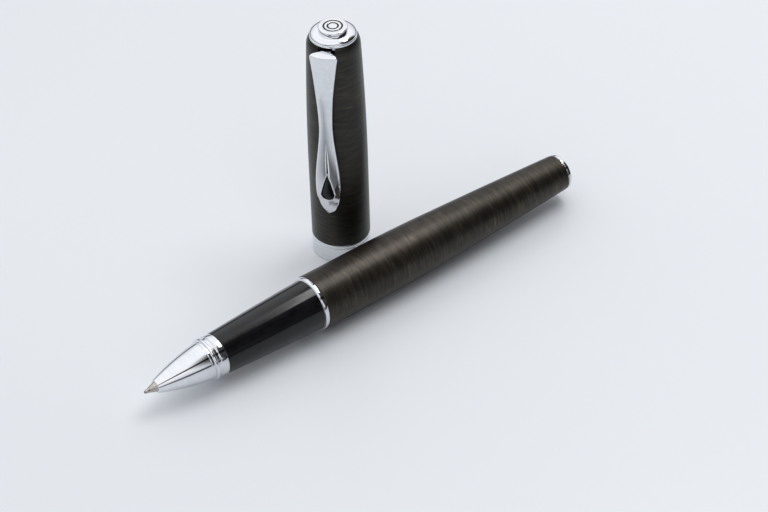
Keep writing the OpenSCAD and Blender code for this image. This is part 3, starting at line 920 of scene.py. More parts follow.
@dataclass
class Section(Assembly):
    """The front of the pen: nose cone, rings, resin grip and the threaded core."""

    nose_front: float = 1.55 * MM
    nose_swell: float = 0.37 * MM
    nose_bore: float = 1.28 * MM
    nose_bore_length: float = 6.2 * MM
    nose_rounding: float = 0.14 * MM
    spigot_radius: float = 3.55 * MM
    spigot_length: float = 3.0 * MM
    core_radius: float = 4.13 * MM
    band_length: float = 0.72 * MM
    band_rise: float = 0.14 * MM
    band_groove: float = 0.14 * MM
    band_rounding: float = 0.06 * MM
    bead_length: float = 0.8 * MM
    bead_radius: float = 5.15 * MM
    valley_radius: float = 4.7 * MM
    valley_length: float = 0.9 * MM
    valley_rise: float = 0.1 * MM
    valley_fillet: float = 0.16 * MM
    collar_crown: float = 0.05 * MM
    collar_rounding: float = 0.13 * MM
    grip_front: float = 4.96 * MM
    grip_rear: float = 6.11 * MM
    grip_swell: float = 0.09 * MM
    grip_rounding: float = 0.17 * MM
    ring_crown: float = 0.09 * MM
    ring_rounding: float = 0.28 * MM
    outer_thread: Thread = Thread(4.50 * MM, 4.92 * MM, 3.1 * MM)

    def build(self) -> None:
        """Builds and dresses every piece of the section."""
        self.nose()
        self.snap_ring()
        self.collar()
        self.grip()
        self.rear_ring()
        self.thread()
        self.keep("section_core")

    def nose(self) -> None:
        """Turns the nose cone, slightly swollen, with a small rounded lip round the tip."""
        start, end = stations("nose_cone", self.axis)
        rear = greatest_radius("nose_cone", self.axis)

        def side(station: float) -> float:
            """Gives the cone's radius at a station."""
            return bellied(self.nose_front, rear, self.nose_swell, (station - start) / (end - start))

        shape = [
            (start, self.nose_bore),
            *curve(side, start, end, 64),
            (end, self.spigot_radius),
            (end - self.spigot_length, self.spigot_radius),
            (start + self.nose_bore_length, self.nose_bore),
        ]
        self.turn("nose_cone", soften(shape, self.nose_rounding, True), "polished_chrome")

    def snap_ring(self) -> None:
        """Turns the narrow band and the raised bead that the cap snaps over."""
        start, end = stations("snap_ring", self.axis)
        band = greatest_radius("nose_cone", self.axis) + self.band_rise
        groove, floor = self.band_groove, band - self.band_groove
        band_end, half = start + self.band_length, self.bead_length / 2
        middle = band_end + half
        band_shape = [
            (start, self.spigot_radius),
            (start, floor),
            (start + groove, floor),
            (start + groove, band),
            (band_end - groove, band),
            (band_end - groove, floor),
            (band_end, floor),
        ]
        arc = [math.pi * step / 16 for step in range(1, 16)]
        foot = self.bead_radius - half
        bead = [(middle - half * math.cos(angle), foot + half * math.sin(angle)) for angle in arc]
        rear = [(end, self.valley_radius - self.valley_rise), (end, self.spigot_radius)]
        points = [*soften(band_shape, self.band_rounding), *bead, *rear]
        self.turn("snap_ring", points, "polished_chrome")

    def collar(self) -> None:
        """Turns the valley behind the bead and the wide collar that meets the grip."""
        start, end = stations("grip_collar", self.axis)
        wide = greatest_radius("grip_collar", self.axis)
        step = start + self.valley_length
        shape = [
            (start, self.spigot_radius),
            (start, self.valley_radius),
            (step - self.valley_fillet, self.valley_radius),
            (step, self.valley_radius + self.valley_rise),
            *crowned(step, end, wide, self.collar_crown, 10),
            (end, self.spigot_radius),
        ]
        self.turn("grip_collar", soften(shape, self.collar_rounding, True), "polished_chrome")

    def grip(self) -> None:
        """Turns the resin grip, which widens towards the barrel with a slight swell."""
        start, end = stations("grip_sleeve", self.axis)

        def side(station: float) -> float:
            """Gives the grip's radius at a station."""
            share = (station - start) / (end - start)
            return bellied(self.grip_front, self.grip_rear, self.grip_swell, share)

        shape = [(start, self.core_radius), *curve(side, start, end, 72), (end, self.core_radius)]
        self.turn("grip_sleeve", soften(shape, self.grip_rounding, True), "black_resin")

    def rear_ring(self) -> None:
        """Turns the rounded chrome ring between the grip and the barrel."""
        start, end = stations("grip_rear_ring", self.axis)
        radius = greatest_radius("grip_rear_ring", self.axis)
        crown = crowned(start, end, radius, self.ring_crown, 12)
        shape = [(start, self.core_radius), *crown, (end, self.core_radius)]
        self.turn("grip_rear_ring", soften(shape, self.ring_rounding, True), "polished_chrome")

    def thread(self) -> None:
        """Winds the outer thread on the core behind the ring."""
        self.dress(self.outer_thread.wind("section_thread", self.axis), "bare_brass")


# ------------------------------------------------------------------ refill


@dataclass
class Refill(Assembly):
    """The rollerball refill with its tip, ball, feed and spring."""

    rim_radius: float = 0.44 * MM
    holder_length: float = 0.78 * MM
    holder_radius: float = 0.60 * MM
    holder_step: float = 0.10 * MM
    cone_lead: float = 0.14 * MM
    cone_front: float = 0.645 * MM
    cone_rear: float = 1.13 * MM
    cone_fullness: float = 0.9
    cone_clearance: float = 0.25 * MM
    shaft_lead: float = 0.3 * MM
    ball_radius: float = 0.35 * MM
    ball_clearance: float = 0.015 * MM
    socket_radius: float = 0.29 * MM
    socket_depth: float = 0.12 * MM
    channel_depth: float = 0.25 * MM
    shaft_radius: float = 1.2 * MM
    flange_radius: float = 2.3 * MM
    flange_length: float = 1.3 * MM
    tail_radius: float = 1.7 * MM
    tail_length: float = 3.0 * MM
    bore_radius: float = 0.75 * MM
    channel_radius: float = 0.175 * MM
    tip_rounding: float = 0.05 * MM
    wire_radius: float = 0.25 * MM
    spring_coils: float = 5.0
    spring_crowding: float = 0.055
    spring_travel: float = 0.8 * MM
    spring_clearance: float = 0.06 * MM

    def build(self) -> None:
        """Builds the tip and the spring, and dresses the kept pieces."""
        self.tip()
        self.spring()
        self.keep("writing_ball", "refill_body", "refill_feed", "ink_reservoir")
        self.keep("refill_end_plug", "spring_seat")

    def tip(self) -> None:
        """Turns the tip: a narrow ball holder, a step, a cone and the shaft in the nose."""
        start, end = stations("refill_tip", self.axis)
        nose = stations("nose_cone", self.axis)[0]
        flange = end - self.tail_length - self.flange_length
        collar = flange + self.flange_length
        holder = start + self.holder_length
        run, rise = nose - self.cone_clearance - holder, self.cone_rear - self.cone_front
        cone = [
            (holder + self.cone_lead + run * share, self.cone_front + rise * share**self.cone_fullness)
            for share in (step / 8 for step in range(9))
        ]
        outside = [
            (start, self.rim_radius),
            (holder, self.holder_radius),
            (holder + self.holder_step, self.holder_radius),
            *cone,
            (nose + self.shaft_lead, self.shaft_radius),
            (flange, self.shaft_radius),
            (flange, self.flange_radius),
            (collar, self.flange_radius),
            (collar, self.tail_radius),
            (end, self.tail_radius),
        ]
        inside = [
            (end, self.bore_radius),
            (nose, self.bore_radius),
            (nose - self.shaft_lead, self.channel_radius),
            (start + self.channel_depth, self.channel_radius),
            (start + self.socket_depth, self.socket_radius),
            (start, self.ball_radius + self.ball_clearance),
        ]
        self.turn("refill_tip", [*soften(outside, self.tip_rounding), *inside], "tip_steel", sides=96)

    def spring(self) -> None:
        """Winds the spring behind the refill, closer at both ends."""
        start, end = stations("refill_spring", self.axis)
        first, last = start + self.wire_radius, end - self.wire_radius
        coil = greatest_radius("refill_spring", self.axis) - self.wire_radius
        mesh = bmesh.new()
        steps = round(self.spring_coils * 40)
        wire = [TURN * side / 12 for side in range(12)]
        rings: list[Ring] = []
        for step in range(steps + 1):
            share = step / steps
            eased = share - self.spring_crowding * math.sin(TURN * share)
            middle, turn = first + (last - first) * eased, TURN * self.spring_coils * share
            ring: Ring = []
            for angle in wire:
                station = middle + self.wire_radius * math.sin(angle)
                radius = coil + self.wire_radius * math.cos(angle)
                ring.append(mesh.verts.new(self.axis.place(station, radius, turn)))
            rings.append(ring)
        join_rings(mesh, rings)
        piece = settle(mesh, "refill_spring_coil", 60)
        self.dress(piece, "spring_steel", "refill_spring", body="spring_carrier")
        along, anchor = tuple(self.axis.along), tuple(self.axis.at(end, 0, 0))
        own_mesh(piece)
        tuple(along)
        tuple(anchor)


# ------------------------------------------------------------------ barrel


@dataclass
class Barrel(Assembly):
    """The barrel with its threaded insert and its end cap."""

    straight: float = 15.8 * MM
    blend: float = 22.0 * MM
    crown: float = 0.06 * MM
    tail_radius: float = 4.5 * MM
    wall: float = 0.75 * MM
    mouth_rounding: float = 0.13 * MM
    cap_radius: float = 4.48 * MM
    cap_edge: float = 0.45 * MM
    cap_groove_depth: float = 0.14 * MM
    cap_groove_width: float = 0.13 * MM
    cap_dome: float = 0.06 * MM
    cap_face_share: float = 0.86
    stud_radius: float = 1.25 * MM
    inner_thread: Thread = Thread(5.0 * MM, 4.58 * MM, 3.6 * MM)

    def build(self) -> None:
        """Builds and dresses every piece of the barrel."""
        self.tube()
        self.thread()
        self.end_cap()
        self.keep("barrel_thread_insert", "barrel_tail_plug")

    def tube(self) -> None:
        """Turns the barrel: straight, a long blend, then a slightly crowned taper."""
        start, end = stations("barrel_tube", self.axis)
        radius = greatest_radius("barrel_tube", self.axis)
        taper_from = start + self.straight + self.blend
        taper = end - taper_from
        slope = (radius - self.tail_radius) / (self.blend / 2 + taper)

        def side(station: float) -> float:
            """Measures the barrel's outside.

            Args:
                station: Where along the pen.

            Returns:
                The radius there.
            """
            run = station - start - self.straight
            if run <= 0:
                return radius
            if run <= self.blend:
                return radius - slope * run * run / (2 * self.blend)
            share = (station - taper_from) / taper
            return radius - slope * (run - self.blend / 2) + 4 * self.crown * share * (1 - share)

        def bore(station: float) -> float:
            """Gives the radius of the barrel's bore at a station."""
            return max(side(station) - self.wall, self.tail_radius - self.wall)

        shape = [*curve(side, start, end, 150), *reversed(curve(bore, start, end, 60))]
        points = soften(shape, self.mouth_rounding, True)
        tube = self.turn("barrel_tube", points, "brushed_bronze_black", sides=160)
        tube.visible_glossy = True

    def thread(self) -> None:
        """Winds the inner thread in the insert, half a pitch on from the section's."""
        self.dress(self.inner_thread.wind("barrel_thread", self.axis), "bare_brass")

    def end_cap(self) -> None:
        """Turns the chrome end cap: a fine groove, a rim and a softly crowned face, with its stud."""
        start, end = stations("barrel_tail_cap", self.axis)
        face = stations("barrel_tube", self.axis)[1]
        groove, floor = face + self.cap_groove_width, self.cap_radius - self.cap_groove_depth
        reach = self.cap_radius * self.cap_face_share
        dome = [(end - self.cap_dome * (step / 8) ** 2, reach * step / 8) for step in range(8, 0, -1)]
        shape = [
            (start, 0.0),
            (start, self.stud_radius),
            (face, self.stud_radius),
            (face, floor),
            (groove, floor),
            (groove, self.cap_radius),
            (end - self.cap_edge * 0.8, self.cap_radius),
            *dome,
            (end, 0.0),
        ]
        points = soften(shape, self.cap_edge * 0.9, steps=8)
        self.turn("barrel_tail_cap", points, "polished_chrome", closed=False)


# ------------------------------------------------------------------ cap


@dataclass
class Cap(Assembly):
    """The standing cap: tube, mouth ring, finial and what holds the clip."""

    straight: float = 24.0 * MM
    taper: float = 0.82 * MM
    shoulder_height: float = 2.0 * MM
    shoulder_drop: float = 0.53 * MM
    wall: float = 0.69 * MM
    lap: float = 0.345 * MM
    lap_floor: float = 1.0 * MM
    lip: float = 4.98 * MM
    tube_rounding: float = 0.07 * MM
    bead: float = 0.78 * MM
    bead_groove_width: float = 0.14 * MM
    bead_groove_depth: float = 0.1 * MM
    ring_rounding: float = 0.24 * MM
    slot_width: float = 3.9 * MM
    slot_depth: float = 1.75 * MM
    slot_reach: Point = (4.0 * MM, 7.0 * MM)
    finial_band: float = 0.5 * MM
    finial_step: float = 0.1 * MM
    finial_chamfer: float = 0.08 * MM
    finial_rounding: float = 0.09 * MM
    finial_socket_depth: float = 1.0 * MM
    finial_socket_radius: float = 1.25 * MM
    disc_edge: float = 0.24 * MM
    disc_rounding: float = 0.05 * MM
    disc_groove_depth: float = 0.1 * MM
    disc_groove_half: float = 0.2 * MM
    disc_groove_places: Point = (0.35, 0.62)

    def __post_init__(self) -> None:
        """Finds the tube's top and its outside radius where it is straight."""
        self.top = stations("cap_tube", self.axis)[1]
        self.outside = greatest_radius("cap_tube", self.axis)

    def radius_at(self, height: float) -> float:
        """Measures the outside of the cap's tube.

        Args:
            height: Height above the table.

        Returns:
            The radius there.
        """
        shoulder = self.top - self.shoulder_height
        run = max(height - self.straight, 0) / (shoulder - self.straight)
        drop = max(height - shoulder, 0) / self.shoulder_height
        return self.outside - self.taper * run * run - self.shoulder_drop * drop * drop

    def build(self) -> None:
        """Builds and dresses every piece of the cap."""
        self.tube()
        self.mouth_ring()
        self.finial()
        self.disc()
        self.keep("inner_cap", "cap_screw", "clip_carrier", "clip_pivot_pin", "clip_spring")

    def tube(self) -> None:
        """Turns the tube and cuts the slot that the clip's tongue goes through."""
        start, top = stations("cap_tube", self.axis)
        lap = self.outside - self.lap
        inner = curve(lambda height: self.radius_at(height) - self.wall, self.straight, top, 60)
        shape = [
            (start, lap),
            (self.lip, lap),
            *curve(self.radius_at, self.lip, top, 110),
            *reversed(inner),
            (start, self.outside - self.wall),
        ]
        tube = lathe("cap_tube_turned", self.axis, soften(shape, self.tube_rounding, True), True, 160)
        heights = (top - self.slot_depth, top + 1 * MM)
        corners = box_corners(self.axis, heights, self.slot_reach, self.slot_width / 2)
        tube = carve(tube, block("slot_cutter", corners, 0))
        self.dress(tube, "brushed_bronze_black", "cap_tube")

    def mouth_ring(self) -> None:
        """Turns the ring at the mouth, with a fine groove under its upper bead."""
        start, end = stations("cap_mouth_ring", self.axis)
        radius = greatest_radius("cap_mouth_ring", self.axis)
        bore, lap = self.outside - self.wall, self.outside - self.lap
        groove, floor = end - self.bead, radius - self.bead_groove_depth
        shape = [
            (start, bore),
            (start, radius),
            (groove - self.bead_groove_width, radius),
            (groove - self.bead_groove_width, floor),
            (groove, floor),
            (groove, radius),
            (end, radius),
            (end, lap),
            (start + self.lap_floor, lap),
            (start + self.lap_floor, bore),
        ]
        self.turn("cap_mouth_ring", soften(shape, self.ring_rounding, True, 7), "polished_chrome", sides=160)

    def finial(self) -> None:
        """Turns the domed finial with a narrow band at its base and a seat for the disc."""
        start, end = stations("cap_finial", self.axis)
        radius = greatest_radius("cap_finial", self.axis)
        seat, inner = stations("finial_disc", self.axis)[0], greatest_radius("finial_disc", self.axis)
        band, socket = start + self.finial_band, start + self.finial_socket_depth
        step = radius - self.finial_step
        arc = [math.pi / 2 * part / 20 for part in range(1, 21)]
        dome = [
            (band + (end - band) * math.sin(angle), inner + (step - inner) * math.cos(angle)) for angle in arc
        ]
        base = [
            (socket, 0.0),
            (socket, self.finial_socket_radius),
            (start, self.finial_socket_radius),
            (start, radius),
            (band - self.finial_chamfer, radius),
            (band, step),
        ]
        points = [*soften(base, self.finial_rounding), *dome, (seat, inner), (seat, 0.0)]
        self.turn("cap_finial", points, "polished_chrome", closed=False)

    def disc(self) -> None:
        """Turns the disc on the finial, with two plain grooves filled with black."""
        start, end = stations("finial_disc", self.axis)
        radius = greatest_radius("finial_disc", self.axis)
        depth, half = self.disc_groove_depth, self.disc_groove_half
        face: list[Point] = []
        for place in self.disc_groove_places:
            inner, outer = radius * place - half, radius * place + half
            face += [(end, inner), (end - depth, inner), (end - depth, outer), (end, outer)]
            self.groove_fill(round(radius * place / MM * 10), end, inner, outer)
        outline = [(start, 0.0), (start, radius), (end, radius), *face[::-1], (end, 0.0)]
        low, wide = start + 0.5 * MM, radius - self.disc_edge - 0.01 * MM
        rest = [point for point in soften(outline, self.disc_rounding) if point[0] > low and point[1] < wide]
        arc = [math.pi / 2 * step / 8 for step in range(9)]
        edge = [
            (end - self.disc_edge * (1 - math.sin(angle)), radius - self.disc_edge * (1 - math.cos(angle)))
            for angle in arc
        ]
        points = [(start, 0.0), (start, radius), *edge, *rest]
        self.turn("finial_disc", points, "polished_chrome", closed=False)

    def groove_fill(self, mark: int, face: float, inner: float, outer: float) -> None:
        """Turns the black ring that fills one groove nearly to the disc's face.

        Args:
            mark: Number that ends the piece's name.
            face: Station of the disc's face.
            inner: Inner radius of the groove.
            outer: Outer radius of the groove.
        """
        floor, level = face - self.disc_groove_depth, face - self.disc_groove_depth * 0.15
        shape = [(floor, inner), (level, inner), (level, outer), (floor, outer)]
        fill = lathe(f"finial_groove_fill_{mark}", self.axis, soften(shape, 0.02 * MM, True), True)
        self.dress(fill, "black_enamel")


# ------------------------------------------------------------------ clip


@dataclass
class Clip(Assembly):
    """The sprung clip: a lens-shaped head, a narrow waist and a drop-shaped end with a black inlay."""

    tube_radius_at: Callable[[float], float] = lambda height: 0.0
    head_width: float = 6.5 * MM
    waist_width: float = 3.1 * MM
    drop_width: float = 5.7 * MM
    thickness: float = 1.2 * MM
    waist_below_top: float = 19.0 * MM
    drop_above_end: float = 8.8 * MM
    head_blend: float = 12.0 * MM
    head_fold: float = 4.6 * MM
    head_fold_blend: float = 2.9 * MM
    head_gap: float = 0.22 * MM
    head_lip: float = 0.34 * MM
    head_crown: float = 0.66 * MM
    head_flare: float = 1.7
    least_crown: float = 0.07 * MM
    back_crown: float = 0.10 * MM
    face_rounding: float = 0.20 * MM
    corner_rounding: float = 0.6 * MM
    toe_below_drop: float = 3.2 * MM
    toe_drop: float = 1.05 * MM
    toe_crown: float = 0.34 * MM
    toe_back: float = 0.55 * MM
    tip_rise: float = 0.35 * MM
    tip_length: float = 2.4 * MM
    crease_above_drop: float = 9.6 * MM
    crease_lead: float = 3.4 * MM
    crease_depth: float = 0.20 * MM
    crease_width: Point = (0.06 * MM, 0.20 * MM)
    # Painted shade: lead and half-widths of the black strip that darkens the crease.
    shade_strip_lead: float = 3.0 * MM
    shade_strip_half: Point = (0.025 * MM, 0.19 * MM)
    waist_dip: float = 0.25 * MM
    waist_spread: float = 11.0 * MM
    least_wall: float = 0.05 * MM
    edge_bulge: float = 0.16 * MM
    inlay_radius: float = 1.62 * MM
    inlay_point: float = 5.9 * MM
    inlay_depth: float = 0.4 * MM
    inlay_sink: float = 0.12 * MM
    inlay_fullness: float = 0.10 * MM
    inlay_above_end: float = 1.7 * MM
    rim: float = 0.15 * MM
    rim_offset: float = 0.07 * MM
    tongue_width: float = 2.3 * MM
    tongue_levels: Point = (0.06 * MM, 0.98 * MM)
    hub_radius: float = 0.95 * MM
    hub_half: float = 1.6 * MM
    bore_radius: float = 0.49 * MM

    def __post_init__(self) -> None:
        """Finds the clip's ends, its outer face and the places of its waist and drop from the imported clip."""
        self.bottom, self.top = stations("clip", self.axis)
        vertices = frame["nodes"]["clip"].data.vertices
        self.face = max((vertex.co - self.axis.start).dot(self.axis.side) for vertex in vertices)
        self.inside = self.face - self.thickness
        self.waist = self.top - self.waist_below_top
        self.drop = self.bottom + self.drop_above_end
        self.inlay_at = stations("clip_inlay", self.axis)[0] + self.inlay_above_end

    def half_width(self, height: float) -> float:
        """Measures half the clip's width.

        Args:
            height: Height above the table.

        Returns:
            Half the width there.
        """
        if height >= self.waist:
            share = (height - self.waist) / (self.top - self.waist)
            return (self.waist_width + (self.head_width - self.waist_width) * share**self.head_flare) / 2
        if height >= self.drop:
            share = (self.waist - height) / (self.waist - self.drop)
            return (self.waist_width + (self.drop_width - self.waist_width) * smooth_step(share)) / 2
        share = (self.drop - height) / (self.drop - self.bottom)
        return self.drop_width / 2 * math.sqrt(max(1 - share * share, 0))

    def front(self, height: float, across: float) -> float:
        """Gives how far out the clip's face lies.

        Args:
            height: Height above the table.
            across: Distance from the clip's middle line.

        Returns:
            The distance from the cap's axis.
        """
        half = max(self.half_width(height), LEAST)
        share = min(abs(across) / half, 1.0)
        head = smooth_step((height - self.top + self.head_blend) / self.head_blend)
        dip = self.waist_dip * math.exp(-(((height - self.waist) / self.waist_spread) ** 2))
        out = self.face - dip - (self.least_crown + self.head_crown * head) * share**2
        toe_from = self.drop - self.toe_below_drop
        toe = max(toe_from - height, 0) / (toe_from - self.bottom)
        out -= self.toe_drop * toe**2.1 + self.toe_crown * smooth_step(toe * 3) * share * (1 - 0.35 * toe)
        return out - self.crease(height, across)

    def crease(self, height: float, across: float) -> float:
        """Gives the depth of the crease that runs down to the drop's point.

        Args:
            height: Height above the table.
            across: Distance from the clip's middle line.

        Returns:
            How far the crease lies below the face there.
        """
        start = self.drop + self.crease_above_drop + self.crease_lead
        end = self.inlay_at + self.inlay_point
        run = (start - height) / (start - end)
        if run <= 0:
            return 0.0
        fade = 1.0 if run < 1 else max(0.0, 1 - (run - 1) * 1.2)
        narrow, wide = self.crease_width
        width = narrow + wide * smooth_step(run)
        return self.crease_depth * smooth_step(run) * fade * math.exp(-((across / width) ** 2) / 1.2)

    def back(self, height: float, across: float) -> float:
        """Gives how far out the clip's inner side lies, from the folded head down to the toe.

        Args:
            height: Height above the table.
            across: Distance from the clip's middle line.

        Returns:
            The distance from the cap's axis.
        """
        half = max(self.half_width(height), LEAST)
        share = min(abs(across) / half, 1.0)
        head = smooth_step((height - self.top + self.head_fold) / self.head_fold_blend)
        near = self.tube_radius_at(height) + self.head_gap
        middle = self.inside + (near - self.inside) * head
        lens = self.front(self.top, half * share) - self.head_lip - near
        lift = (self.back_crown + (lens - self.back_crown) * head * 0.93) * share**2
        toe = smooth_step((self.drop + 1.5 * MM - height) / (5.5 * MM)) * self.toe_back
        tip = smooth_step((self.bottom + self.tip_length - height) / self.tip_length) * self.tip_rise
        return middle + lift - toe * (1 - 0.5 * share) + tip

    def top_rounding(self, height: float, radius: float) -> float:
        """Gives how far a rounding of the head's top edge lies inside the edge at a height."""
        rise = 1 - min((self.top - height) / radius, 1)
        return radius * (1 - math.sqrt(max(1 - rise * rise, 0)))

    def build(self) -> None:
        """Builds and dresses the clip, its rim and its inlay."""
        clip = self.arm()
        clip = carve(clip, self.pocket())
        self.dress(clip, "polished_chrome", "clip")
        self.dress(self.tongue(), "polished_chrome")
        self.dress(self.hub(), "polished_chrome")
        self.dress(self.bead(), "polished_chrome")
        self.dress(self.inlay(), "black_enamel", "clip_inlay")
        # The black strip in the crease is painted shade, given the black enamel finish.
        self.dress(self.painted_crease_shade(), "black_enamel")

    def arm(self) -> Piece:
        """Lofts the clip's arm from its head to its end, with rows closest at both ends.

        Returns:
            The arm.
        """
        mesh = bmesh.new()
        rows, half_steps = 230, 22
        parts = [step / half_steps for step in range(-half_steps, half_steps + 1)]
        shares = [math.copysign(abs(part) ** 1.25, part) for part in parts]
        rings: list[Ring] = []
        for row in range(rows + 1):
            part = row / rows
            height = self.top - (self.top - self.bottom) * (0.5 - 0.5 * math.cos(math.pi * part))
            height = min(max(height, self.bottom + 0.004 * MM), self.top)
            rings.append([mesh.verts.new(point) for point in self.section(height, shares)])
        join_rings(mesh, rings, capped=False)
        count = len(shares)
        for ring in (rings[0], rings[-1]):
            front, right = ring[:count], ring[count : count + 3]
            rear, left = ring[count + 3 : 2 * count + 3][::-1], ring[2 * count + 3 :]
            for index in range(count - 1):
                mesh.faces.new([front[index], front[index + 1], rear[index + 1], rear[index]])
            mesh.faces.new([front[-1], *right, rear[-1]])
            mesh.faces.new([front[0], rear[0], *left])
        return settle(mesh, "clip_arm", 42)

    def section(self, height: float, shares: Sequence[float]) -> list[Vector]:
        """Draws one cross-section of the arm.

        Args:
            height: Height above the table.
            shares: Places across the face, from -1 at one edge to 1 at the other.

        Returns:
            The points of its face, its right edge, its inner side and its left edge, in order.
        """
        pull = self.top_rounding(height, self.face_rounding)
        half = max(self.half_width(height) - self.top_rounding(height, self.corner_rounding), 0.02 * MM)
        outs = [(share, self.front(height, share * half) - pull) for share in shares]
        ins = [(share, self.back(height, share * half) + pull) for share in reversed(shares)]
        thin = max(outs[0][1] - ins[-1][1], self.least_wall)
        bulge = min(thin * 0.28, self.edge_bulge)

        def soft(share: float) -> float:
            """Gives how far the face or inner side turns in near its edges."""
            return bulge * max(0.0, (abs(share) - 0.93) / 0.07) ** 2

        points = [self.axis.at(height, out - soft(share), share * half) for share, out in outs]
        lifts = [(step / 4, bulge * 0.35 * math.sin(math.pi * step / 4)) for step in range(1, 4)]
        for lift, bow in lifts:
            points.append(self.axis.at(height, outs[-1][1] - bulge - (thin - 2 * bulge) * lift, half + bow))
        for share, out in ins:
            reach = min(out, self.front(height, share * half) - self.least_wall)
            points.append(self.axis.at(height, reach + soft(share), share * half))
        for lift, bow in lifts:
            points.append(self.axis.at(height, ins[-1][1] + bulge + (thin - 2 * bulge) * lift, -half - bow))
        return points

    def outline(self, grow: float, steps: int = 48) -> list[Point]:
        """Draws the drop: a round end with two slightly full sides that meet in a point.

        Args:
            grow: Distance by which the drop is made larger all round.
            steps: Number of steps round the end.

        Returns:
            Points as (across, height).
        """
        radius = self.inlay_radius + grow
        point = self.inlay_point + grow * 2.2
        lean = math.acos(radius / point)
        arc = [math.pi / 2 - lean - (TURN - 2 * lean) * step / steps for step in range(steps + 1)]
        end = [(radius * math.cos(angle), radius * math.sin(angle)) for angle in arc]

        def flank(foot: Point, fullness: float) -> list[Point]:
            """Draws one side, from its foot on the round end up to just below the point.

            Args:
                foot: Where the side starts, as (across, height).
                fullness: How far the side stands out of a straight line, half-way along.

            Returns:
                Points as (across, height).
            """
            shares = [step / 8 for step in range(1, 8)]
            across = [foot[0] * (1 - share) + fullness * math.sin(math.pi * share) for share in shares]
            return [(place, foot[1] + (point - foot[1]) * share) for place, share in zip(across, shares)]

        rise, fall = flank(end[0], self.inlay_fullness), flank(end[-1], -self.inlay_fullness)
        shape = [*end, *fall, (0.0, point), *rise[::-1]]
        return [(across, height + self.inlay_at) for across, height in shape]

    def pocket(self) -> Piece:
        """Builds the cutter of the drop-shaped pocket in the clip's face.

        Returns:
            The cutter.
        """
        mesh = bmesh.new()
        shape = self.outline(0.0)
        reaches = (self.face - self.inlay_depth, self.face + 1 * MM)
        rings = [
            [mesh.verts.new(self.axis.at(height, reach, across)) for across, height in shape]
            for reach in reaches
        ]
        join_rings(mesh, rings)
        return settle(mesh, "pocket_cutter")

    def bead(self) -> Piece:
        """Builds the raised bright rim round the drop, which follows the clip's face.

        Returns:
            The rim.
        """
        mesh = bmesh.new()
        shape = self.outline(self.rim_offset, 64)
        turns = [TURN * side / 12 for side in range(12)]
        rings: list[Ring] = []
        for index, (across, height) in enumerate(shape):
            before, after = Vector(shape[index - 1]), Vector(shape[(index + 1) % len(shape)])
            run = (after - before).normalized()
            outward, middle = Vector((run.y, -run.x)), Vector((across, height))
            if outward.dot(middle - Vector((0, self.inlay_at))) < 0:
                outward = -outward
            level = self.front(height, across)
            ring: Ring = []
            for angle in turns:
                flat = middle + outward * (self.rim * math.cos(angle))
                reach = level + self.rim * 0.75 * math.sin(angle) + 0.01 * MM
                ring.append(mesh.verts.new(self.axis.at(flat.y, reach, flat.x)))
            rings.append(ring)
        join_rings(mesh, rings, closed=True, capped=False)
        return settle(mesh, "clip_drop_rim", 80)

    def inlay(self) -> Piece:
        """Builds the black drop: a low dome set in the pocket.

        Returns:
            The inlay.
        """
        mesh = bmesh.new()
        shape = self.outline(-0.015 * MM)
        steps = (
            (1.0, -0.30), (1.0, -0.2), (0.97, -0.15), (0.88, -0.10), (0.7, -0.05), (0.45, -0.015), (0.2, 0.0),
        )
        rings: list[Ring] = []
        for scale, rise in steps:
            reach = self.face - self.inlay_sink + rise * MM
            ring: Ring = []
            for across, height in shape:
                up = self.inlay_at + (height - self.inlay_at) * scale
                ring.append(mesh.verts.new(self.axis.at(up, reach, across * scale)))
            rings.append(ring)
        join_rings(mesh, rings)
        return settle(mesh, "clip_drop_inlay", 40)

    def painted_crease_shade(self) -> Piece:
        """Builds a painted shade for the crease: a thin black strip that widens down to the drop's point.

        Returns:
            The line.
        """
        mesh = bmesh.new()
        high = self.drop + self.crease_above_drop + self.shade_strip_lead
        low = self.inlay_at + self.inlay_point
        thin, wide = self.shade_strip_half
        rings: list[Ring] = []
        for step in range(61):
            share = step / 60
            height = high + (low - high) * share
            half = thin + wide * share**1.3
            out = self.front(height, half) + 0.004 * MM
            profile = ((-half, out), (0.0, out + 0.003 * MM), (half, out), (0.0, out - 0.08 * MM))
            rings.append([mesh.verts.new(self.axis.at(height, reach, across)) for across, reach in profile])
        join_rings(mesh, rings)
        return settle(mesh, "clip_crease_line", 50)

    def tongue(self) -> Piece:
        """Builds the tongue that goes from the clip's head through the tube to its pivot.

        Returns:
            The tongue.
        """
        low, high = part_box("clip_pivot_pin")
        pivot = (low + high) / 2 - self.axis.start
        out, level = pivot.dot(self.axis.side), pivot.dot(self.axis.along)
        bottom, top = self.tongue_levels
        reaches = (out + self.hub_radius * 0.8, self.back(self.top - 0.6 * MM, 0) + 0.5 * MM)
        corners = box_corners(self.axis, (level + bottom, level + top), reaches, self.tongue_width / 2)
        return block("clip_tongue", corners, 0.12 * MM)

    def hub(self) -> Piece:
        """Turns the hub that turns on the pivot pin.

        Returns:
            The hub.
        """
        low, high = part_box("clip_pivot_pin")
        line = Axis((low + high) / 2, self.axis.across, self.axis.along)
        half, bore, outside = self.hub_half, self.bore_radius, self.hub_radius
        shape = [(-half, bore), (-half, outside), (half, outside), (half, bore)]
        return lathe("clip_hub", line, soften(shape, 0.1 * MM, True), True, 64)


# ------------------------------------------------------------------ studio


@dataclass(frozen=True)
class Softbox:
    """A rectangular soft light."""

    name: str
    place: Colour
    target: Colour
    width: float
    height: float
    power: float

    def hang(self) -> None:
        """Hangs the light where it belongs and points it at its target."""
        light = bpy.data.lights.new(self.name, "AREA")
        light.shape, light.size, light.size_y, light.energy = "RECTANGLE", self.width, self.height, self.power
        lamp = bpy.data.objects.new(self.name, light)
        bpy.context.scene.collection.objects.link(lamp)
        lamp.location = self.place
        lamp.rotation_mode = "QUATERNION"
        lamp.rotation_quaternion = (Vector(self.target) - Vector(self.place)).to_track_quat("-Z", "Y")


